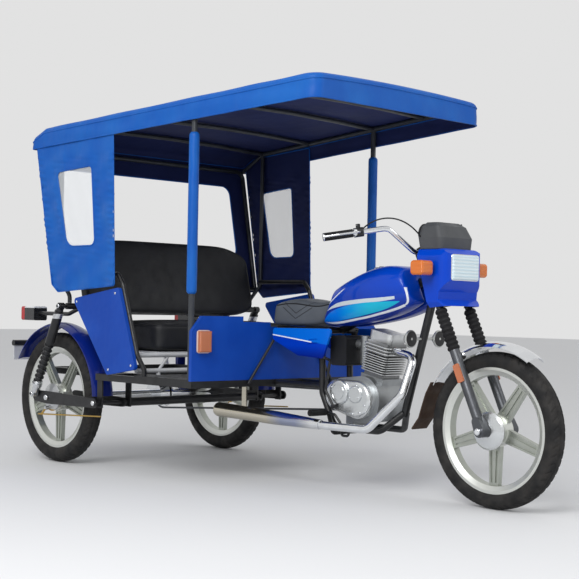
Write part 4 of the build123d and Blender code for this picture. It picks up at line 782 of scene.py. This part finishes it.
def side_curtain(name, side):
    """Side sheet: straight lines from the window's edge out to the panel's edge, with slanting
    folds that die out at the window and under the valance, and close puckers along the sewn
    edges."""
    flat, share = framed(WINDOW, SIDE_OUTLINE, WINDOW_MIDDLE, 420, 36)
    run, up = flat[..., 0], flat[..., 1]
    calm = ease(0, 0.25, share) * (1 - ease(1.42, 1.49, up))
    slant = 0.004 * np.sin(run * 38 + up * 14) * np.sin(up * 9 + 0.6)
    cross = 0.002 * np.sin(up * 52 - run * 30)
    ends = np.maximum(1 - ease(0.1, 0.2, run), ease(0.46, 0.52, run))
    sewn = np.maximum(ease(0.55, 0.9, share) * ends, 1 - ease(0, 0.5, share))
    pucker = 0.0019 * np.sin(up * 205 + run * 30 + 2 * np.sin(up * 17)) * sewn
    grid = on_side(flat, (slant + cross + pucker) * calm - SIDE_SINK, side)
    piece = surface(name, grid, flip=side > 0)
    return thicken(piece, SIDE_SKIN, 1.0, 1), cloth_area(grid)


def window_film(name, side):
    """Clear film: rings from the window's middle to its edge, faintly rippled."""
    angle = np.arange(200) / 200 * TAU
    edge = spokes_to(WINDOW, WINDOW_MIDDLE, angle)
    share = np.linspace(0.02, 1.0, 24)[:, None, None]
    flat = WINDOW_MIDDLE + (edge - WINDOW_MIDDLE) * share
    ripple = 0.0008 * np.sin(flat[..., 0] * 60 + flat[..., 1] * 25)
    grid = on_side(flat, ripple - FILM_SINK, side)
    piece = surface(name, grid, caps=(True, False), flip=side > 0)
    return thicken(piece, FILM_SKIN, 0.0), cloth_area(grid)


def film():
    """Clear plastic sheet, slightly milky."""
    made = Finish("window_film", (238, 242, 246), 0.08, alpha=0.3, ior=1.45, coat_weight=0.3)
    return made.grain(12.0, 2.0, 0.004, 0.4)


clear_film = film()
for side, word in SIDES:
    curtain, curtain_area = side_curtain("side_curtain_" + word, side)
    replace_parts(dress(curtain, vinyl, lining), "canopy_sides")
    pane, pane_area = window_film("window_film_" + word, side)
    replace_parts(dress(pane, clear_film), "side_windows")
    welt_line = on_side(WINDOW, np.zeros(len(WINDOW)), side)
    welt = rod("window_welt_" + word, welt_line, WELT_R, closed=True, up=(0, 1, 0))
    hem_line = on_side(SIDE_OUTLINE, np.full(len(SIDE_OUTLINE), -SIDE_SINK), side)
    hem = rod("curtain_hem_" + word, hem_line, SIDE_HEM_R, closed=True, up=(0, 1, 0))
    dress(welt, vinyl)
    dress(hem, vinyl)

# Rear curtain

BACK_LOW, BACK_HIGH = arr(0.102, 0.842), arr(-0.038, 1.5)
BACK_RUN = np.linalg.norm(BACK_HIGH - BACK_LOW)
BACK_UP = (BACK_HIGH - BACK_LOW) / BACK_RUN
BACK_INSET = 0.0186
LOW_HALF, HIGH_HALF = roof_half(arr(BACK_LOW[0], BACK_HIGH[0])) - BACK_INSET


def on_back(flat, out):
    """Point of the rear curtain: across, up its slope, and moved rearwards."""
    across, up = flat[..., 0], flat[..., 1]
    x = REAR_X + BACK_LOW[0] + BACK_UP[0] * up - BACK_UP[1] * out
    z = BACK_LOW[1] + BACK_UP[1] * up + BACK_UP[0] * out
    return np.stack([x, across, z], -1)


BACK_OUTLINE = rounded([(-LOW_HALF, 0), (LOW_HALF, 0), (HIGH_HALF, BACK_RUN),
                        (-HIGH_HALF, BACK_RUN)], 0.008, 0.01)
LIGHT_LOW, LIGHT_HIGH = 0.19, BACK_RUN - 0.09
LIGHT = rounded([(-LOW_HALF + 0.1, LIGHT_LOW), (LOW_HALF - 0.1, LIGHT_LOW),
                 (HIGH_HALF - 0.11, LIGHT_HIGH), (-HIGH_HALF + 0.11, LIGHT_HIGH)], 0.05, 0.01)
LIGHT_MIDDLE = arr(0, 0.38)


def rear_curtain():
    """Rear sheet: straight lines from the open light's edge to the panel's edge, with shallow
    folds between."""
    flat, share = framed(LIGHT, BACK_OUTLINE, LIGHT_MIDDLE, 520, 26)
    fold = 0.003 * np.sin(flat[..., 0] * 17) * np.sin(flat[..., 1] * 23 + 1)
    grid = on_back(flat, fold * np.sin(share * math.pi))
    piece = surface("rear_curtain", grid, flip=True)
    return thicken(piece, SKIN, -1.0, 1), cloth_area(grid)


back, back_area = rear_curtain()
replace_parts(dress(back, vinyl, lining), "canopy_back")
light_line = on_back(LIGHT, np.zeros(len(LIGHT)))
light_welt = dress(rod("light_welt", light_line, WELT_R, closed=True, up=(1, 0, 0.2)), vinyl)

# Cushions

PAD_GRID = 60
BENCH_POWER, BACK_POWER, SADDLE_POWER = 9.0, 8.0, 6.0
TOP_SINK = 0.006
BACK_LEAN = math.radians(14)


def pad(name, power, place, made, node):
    """Padded piece: a rounded unit box carried to its place by a function of its coordinates."""
    box, quads = soft_box(PAD_GRID, power)
    piece = mesh_piece(name, place(*box.T), quads.tolist(), "chassis")
    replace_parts(dress(piece, made), node)


def bench_place(a, b, c):
    """Bench cushion: box with a crowned top, sides drawn in between the corners."""
    x = REAR_X + 0.425 + a * (0.23 - 0.006 * (1 - b ** 2))
    y = b * (0.436 - 0.005 * (1 - a ** 2))
    crown = 0.012 * (1 - a ** 2) * (1 - b ** 4) * ease(0, 1, c) - TOP_SINK
    return np.stack([x, y, 0.623 + c * 0.066 + crown], 1)


def back_place(a, b, c):
    """Backrest: leaning slab with a crowned face and rounded top corners."""
    up = 0.186 + c * 0.18
    half = 0.52 - 0.09 * ease(0.3, 1.0, c) ** 3
    thick = 0.044 + a * (0.037 + 0.007 * (1 - b ** 4) * (1 - c ** 2))
    cosine, sine = math.cos(BACK_LEAN), math.sin(BACK_LEAN)
    x = REAR_X + 0.165 - up * sine + thick * cosine
    return np.stack([x, b * half, 0.703 + up * cosine + thick * sine], 1)


def saddle_place(a, b, c):
    """Driver seat: wide and level at the rear, narrow at the nose, its front slanting under."""
    t, h = (a + 1) / 2, (c + 1) / 2
    low, high = -0.0205 + t * 0.2872, -0.0225 + t * 0.3733
    x = low * (1 - h) + high * h
    half = (0.116 - 0.03 * ease(0.45, 1.0, t)) * (1 - 0.12 * h)
    top = 0.79 + 0.012 * ease(0, 0.35, t) - 0.012 * ease(0.4, 0.75, t) + 0.014 * ease(0.75, 1, t)
    crown = 0.008 * (1 - b ** 2) * h - TOP_SINK
    return np.stack([x, b * half, 0.682 * (1 - h) + (top + crown) * h], 1)


pad("bench_pad", BENCH_POWER, bench_place, bench_hide, "bench_cushion")
pad("back_pad", BACK_POWER, back_place, bench_hide, "bench_back")
pad("saddle", SADDLE_POWER, saddle_place, saddle_hide(), "driver_seat")


PIPING_POINTS = 240


def piping(name, place, power, order, level, made, radius=0.0034):
    """Sewn cord round a pad: the line on the rounded box at one level of one coordinate."""
    turn = np.arange(PIPING_POINTS) / PIPING_POINTS * TAU
    scale = (1 - level ** power) ** (1 / power)
    flat = np.stack([np.cos(turn), np.sin(turn)])
    flat *= scale / (np.abs(flat) ** power).sum(0) ** (1 / power)
    box = np.full((3, PIPING_POINTS), level)
    box[list(order)] = flat
    line = even(place(*box), PIPING_POINTS)
    dress(rod(name, line, radius, closed=True, up=(0.3, 0.2, 0.9)), made)


piping("bench_piping", bench_place, BENCH_POWER, (0, 1), 0.8, bench_hide)
piping("back_piping", back_place, BACK_POWER, (1, 2), 0.78, bench_hide)
piping("saddle_piping", saddle_place, SADDLE_POWER, (0, 1), 0.72, black_plastic, 0.0028)

POLE_X, POLE_Y = REAR_X + 1.028, 0.556
SLEEVE_R, SLEEVE_LOW, SLEEVE_TALL = 0.0222, 0.812, 0.684
SEAM_TURN = 4.2


def pole_sleeve(name, side):
    """Padded sleeve: a tube whose radius swells between its ties and puckers along the seam."""
    up = np.linspace(0, 1, 90)[:, None]
    turn = np.arange(40) / 40 * TAU
    ends = 1 - 0.35 * (np.exp(-up / 0.006) + np.exp(-(1 - up) / 0.006))
    swell = 0.03 * np.sin(up * 34) * np.cos(turn * 2)
    seam = 0.05 * np.exp(-((turn - SEAM_TURN) / 0.1) ** 2)
    radius = SLEEVE_R * ends * (1 + swell - seam)
    x, y = POLE_X + radius * np.cos(turn), side * POLE_Y + radius * np.sin(turn)
    grid = np.stack([x, y, SLEEVE_LOW + SLEEVE_TALL * up + 0 * turn], -1)
    piece = dress(surface(name, grid, caps=(True, True), flip=True), vinyl)
    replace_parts(piece, "pole_sleeves")


for side, word in SIDES:
    pole_sleeve("pole_sleeve_" + word, side)

# Tyres

BEAD_TURN = math.radians(138)
LUGS, TREAD_DEPTH = 54, 0.0035


def tyre(name, body, x, y, radius, half, node):
    """Tyre: an oval section carried round the wheel, its crown cut by two grooves and by
    slanting sipes."""
    around = np.arange(720)[:, None] / 720 * TAU
    section = np.linspace(-BEAD_TURN, BEAD_TURN, 61)[None, :]
    sine, cosine = np.sin(section), np.cos(section)
    side = np.sign(sine) * np.abs(sine) ** 0.9 * half
    depth = half * 0.92
    out = radius - depth + depth * np.sign(cosine) * np.abs(cosine) ** 0.85
    across = np.degrees(np.abs(section))
    groove = np.exp(-((across - 17) / 4.0) ** 4)
    pitch = np.mod(around * LUGS / TAU + across / 70 + (section > 0) * 0.5, 1)
    shoulder = ease(20, 26, across) * (1 - ease(56, 66, across))
    sipe = np.exp(-((pitch - 0.5) / 0.14) ** 4) * shoulder
    ring = 0.0008 * np.exp(-((across - 88) / 3) ** 2)
    out = out - TREAD_DEPTH * np.maximum(groove, sipe)
    side = y + side + np.sign(section) * ring + 0 * around
    grid = np.stack([x + out * np.cos(around), side, radius + out * np.sin(around)], -1)
    piece = dress(surface(name, grid, (True, True), flip=True, body=body), tyre_black)
    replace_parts(piece, node)


tyre("tyre_front", "front_wheel", FRONT_X, 0, FRONT_R, 0.038, "front_tyre")
for side, word in SIDES:
    tyre("tyre_rear_" + word, "rear_wheel_" + word, REAR_X, side * HALF_TRACK, REAR_R, 0.042,
         "rear_tyre_" + word)

# Small fastenings and trim

def studs(name, rows, made, body="chassis", sides=6):
    """Bolt heads and caps: for every row of place, direction, radius and height, a flat-sided
    profile of four rings along its direction, chamfered at the top."""
    rows = np.array(rows, float)
    at, way, radius, height = rows[:, :3], unit(rows[:, 3:6]), rows[:, 6], rows[:, 7]
    steep = np.abs(way[:, 2:]) > 0.9
    side = unit(np.cross(way, np.where(steep, arr(1, 0, 0), arr(0, 0, 1))))
    other = np.cross(way, side)
    turn = np.arange(sides)[:, None] / sides * TAU
    ring = side[:, None] * np.cos(turn) + other[:, None] * np.sin(turn)
    wide, tall = arr(1, 1, 0.84, 0.02), arr(0, 0.75, 1, 1.02)
    points = (at[:, None, None] + ring[:, None] * (radius[:, None] * wide)[..., None, None]
              + way[:, None, None] * (height[:, None] * tall)[..., None, None])
    index = np.arange(points.size // 3).reshape(len(rows), 4, sides)
    caps = index[:, 0, ::-1].tolist() + index[:, -1].tolist()
    cells = cells_of(np.concatenate([index, index[..., :1]], 2))
    quads = np.roll(cells[:, ::-1], 1, 1).tolist()
    dress(mesh_piece(name, points.reshape(-1, 3), quads + caps, body), made)


def bolts_round(centre, radius, angles, y, size, height):
    """Rows for bolts set round a centre in side view, standing outwards."""
    turn = np.radians(angles)
    return [(centre[0] + radius * c, y, centre[1] + radius * s, 0, np.sign(y), 0, size, height)
            for c, s in zip(np.cos(turn), np.sin(turn))]


def both_sides(rows):
    """Rows of place, radius and height on each side of the middle plane, standing outwards."""
    return [(x, side * y, z, 0, side, 0, radius, height)
            for side, word in SIDES for x, y, z, radius, height in rows]


GEAR, CRANK = (FRONT_X - 0.738, 0.400), (FRONT_X - 0.625, 0.385)
DISC, FILTER = (FRONT_X - 0.712, 0.412), (FRONT_X - 0.622, 0.408)
CASE_BOLT = (0.0052, 0.0045)
cover_bolts = (bolts_round(CRANK, 0.06, (-100, -60, -20, 80), -0.1365, *CASE_BOLT)
               + bolts_round(GEAR, 0.05, (215, 255), -0.1365, *CASE_BOLT)
               + bolts_round(DISC, 0.0425, (30, 150, 270), -0.1485, 0.004, 0.003)
               + bolts_round(FILTER, 0.028, (90, 210, 330), -0.1445, 0.004, 0.0035)
               + bolts_round(CRANK, 0.058, (0, 72, 144, 216, 288), 0.1345, *CASE_BOLT))
studs("cover_bolts", cover_bolts, chrome)

axle_nuts = [(REAR_X, 0.5975, 0.311, 0.0145, 0.011),
             (REAR_X + 0.385, 0.5975, 0.308, 0.013, 0.008),
             (REAR_X - 0.08, 0.6305, 0.326, 0.012, 0.009),
             (REAR_X + 0.1375, 0.6305, 0.75, 0.012, 0.009)]
studs("axle_nuts", both_sides(axle_nuts), chrome)
front_nut = (FRONT_X, 0.1205, FRONT_R, 0.0125, 0.006)
studs("front_axle_nuts", both_sides([front_nut]), chrome, "steering")

SCREWS = ((0.256, 0.772), (0.556, 0.812), (0.682, 0.494), (0.512, 0.468))
panel_screws = both_sides([(REAR_X + x, 0.6098, z, 0.0055, 0.0022) for x, z in SCREWS])
studs("panel_screws", panel_screws, chrome, sides=14)

CAP = (FRONT_X - 0.61, 0, 0.9255, 0, 0, 1)
studs("filler_cap", [CAP + (0.0325, 0.0125), CAP + (0.014, 0.0165)], chrome, sides=40)

GRIP_OUT = unit(arr(-0.165, 0.203, -0.043))
BAR_END = arr(FRONT_X - 0.579, 0.388, 1.043)
grip_end = np.concatenate([BAR_END - 0.0065 * GRIP_OUT, GRIP_OUT, (0.0165, 0.0062)])
grip_ends = [grip_end * arr(1, side, 1, 1, side, 1, 1, 1) for side, word in SIDES]
studs("grip_ends", grip_ends, chrome, "steering", 24)

DIAL_X, DIAL_Y, DIAL_Z = FRONT_X - 0.3375, 0.05, 1.071
dial_white = moulded("dial_white", (214, 216, 212), (188, 190, 186))
for name, back, radius, height, made in (("dial_rims", 0, 0.038, 0.004, black_plastic),
                                         ("dials", 0.0025, 0.033, 0.0022, dial_white)):
    dials = [(DIAL_X - back, side * DIAL_Y, DIAL_Z, -1, 0, 0.1, radius, height)
             for side, word in SIDES]
    studs(name, dials, made, "steering", 40)

CABLE_R = 0.003
CABLE_RUN = arr((0.688, 0.272, 1.082), (0.765, 0.262, 1.14), (0.838, 0.19, 1.14),
                (0.842, 0.092, 1.045))


def control_cable(name, side):
    """Cable from the front of a lever perch into the side of the hood: a cubic curve between
    two ends, drawn towards two points."""
    t = np.linspace(0, 1, 60)[:, None]
    a, b, c, d = CABLE_RUN * arr(1, side, 1)
    line = a * (1 - t) ** 3 + 3 * b * t * (1 - t) ** 2 + 3 * c * t ** 2 * (1 - t) + d * t ** 3
    cable = dress(rod(name, line, CABLE_R, "steering"), black_plastic)


for side, word in SIDES:
    control_cable("control_cable_" + word, side)


def lamp_rim(name, x, low, high, radius, made, body="chassis", mirror=1):
    """Rim of a lamp: a bar round a rectangle with rounded corners, across the vehicle."""
    (y0, z0), (y1, z1) = low, high
    edge = rounded([(y0, z0), (y1, z0), (y1, z1), (y0, z1)], 0.008) * arr(mirror, 1)
    line = np.insert(edge, 0, x, 1)
    dress(rod(name, line, radius, body, True, up=(1, 0, 0)), made)


lamp_rim("lens_rim", FRONT_X - 0.1695, (-0.083, 0.882), (0.083, 0.981), 0.003, chrome, "steering")
pale_trim = moulded("pale_trim", (212, 190, 176), (188, 160, 142))
for side, word in SIDES:
    lamp_rim("lamp_border_" + word, REAR_X + 1.0645, (-0.548, 0.566), (-0.482, 0.656), 0.0042,
             pale_trim, mirror=-side)

# Studio

FLOOR_HALF = 30
SKY_WAY, SKY_SPAN, SKY_LEVELS = (0.68, -0.65, -0.34), (-0.2, 0.75), (0.74, 0.4)
SKY_SEEN = 0.76
LAMPS = (("key", (2.6, -4.8, 4.2), 3.2, 250.0), ("fill", (5.5, 1.5, 3.0), 2.0, 40.0))
LAMP_AIM = arr(0, 0, 0.8)
EYE = (4.15045, -3.9642, 0.7524)
EYE_TURNS = (46.4031, -0.1745, 1.1047)
LENS_MM, SENSOR_MM, LENS_SHIFT = 79.09, 36.0, 0.0419


def studio():
    """Pale floor, two broad soft lamps and a sky that grades from one side to the other, seen
    as one pale tone by the camera and in reflections; camera at the photograph's place."""
    line = np.linspace(-FLOOR_HALF, FLOOR_HALF, 7)
    grid = np.stack(np.meshgrid(line, line, [0], indexing="ij"), -1)[:, :, 0]
    floor = surface("floor", grid, (False, False))
    floor.parent = None
    made = Finish("floor_paint", (222, 223, 225), 0.8, shine=0.1)
    made.gloss(2.0, 0.75, 0.9)
    dress(floor, made)

    scene.world = bpy.data.worlds.new("studio_sky")
    scene.world.use_nodes = True
    sky = Nodes(scene.world.node_tree)
    path = sky.node("ShaderNodeLightPath").outputs
    seen = sky.either(path["Is Camera Ray"], path["Is Glossy Ray"])
    seen = sky.either(seen, path["Is Transmission Ray"])
    way = sky.node("ShaderNodeVectorMath", operation="DOT_PRODUCT")
    sky.put(way, 0, sky.node("ShaderNodeTexCoord").outputs["Generated"])
    sky.put(way, 1, SKY_WAY)
    around = sky.span(way.outputs["Value"], *SKY_SPAN, *SKY_LEVELS)
    strength = sky.node("ShaderNodeMix")
    for socket, value in ((0, seen), (2, around), (3, SKY_SEEN)):
        sky.put(strength, socket, value)
    light = sky.tree.nodes["Background"]
    sky.put(light, "Color", (1, 1, 1, 1))
    sky.put(light, "Strength", strength.outputs[0])

    for name, place, size, power in LAMPS:
        lamp = bpy.data.lights.new(name, "AREA")
        lamp.size, lamp.energy = size, power
        holder = bpy.data.objects.new(name, lamp)
        scene.collection.objects.link(holder)
        holder.location = place
        away = arr(*place) - LAMP_AIM
        holder.rotation_euler = (math.atan2(math.hypot(away[0], away[1]), away[2]), 0,
                                 math.atan2(away[1], away[0]) + math.pi / 2)

    lens = bpy.data.cameras.new("camera")
    lens.sensor_width, lens.lens, lens.shift_y = SENSOR_MM, LENS_MM, LENS_SHIFT
    eye = bpy.data.objects.new("camera", lens)
    scene.collection.objects.link(eye)
    turn, tilt, roll = np.radians(EYE_TURNS)
    ahead = arr(-math.sin(turn) * math.cos(tilt), math.cos(turn) * math.cos(tilt), math.sin(tilt))
    right = arr(math.cos(turn), math.sin(turn), 0)
    up = np.cross(right, ahead)
    c, s = math.cos(roll), math.sin(roll)
    matrix = np.eye(4)
    matrix[:3] = np.stack([right * c + up * s, up * c - right * s, -ahead, EYE], 1)
    eye.matrix_world = matrix.T.tolist()
    scene.camera = eye
    scene.view_settings.view_transform = "Standard"


studio()
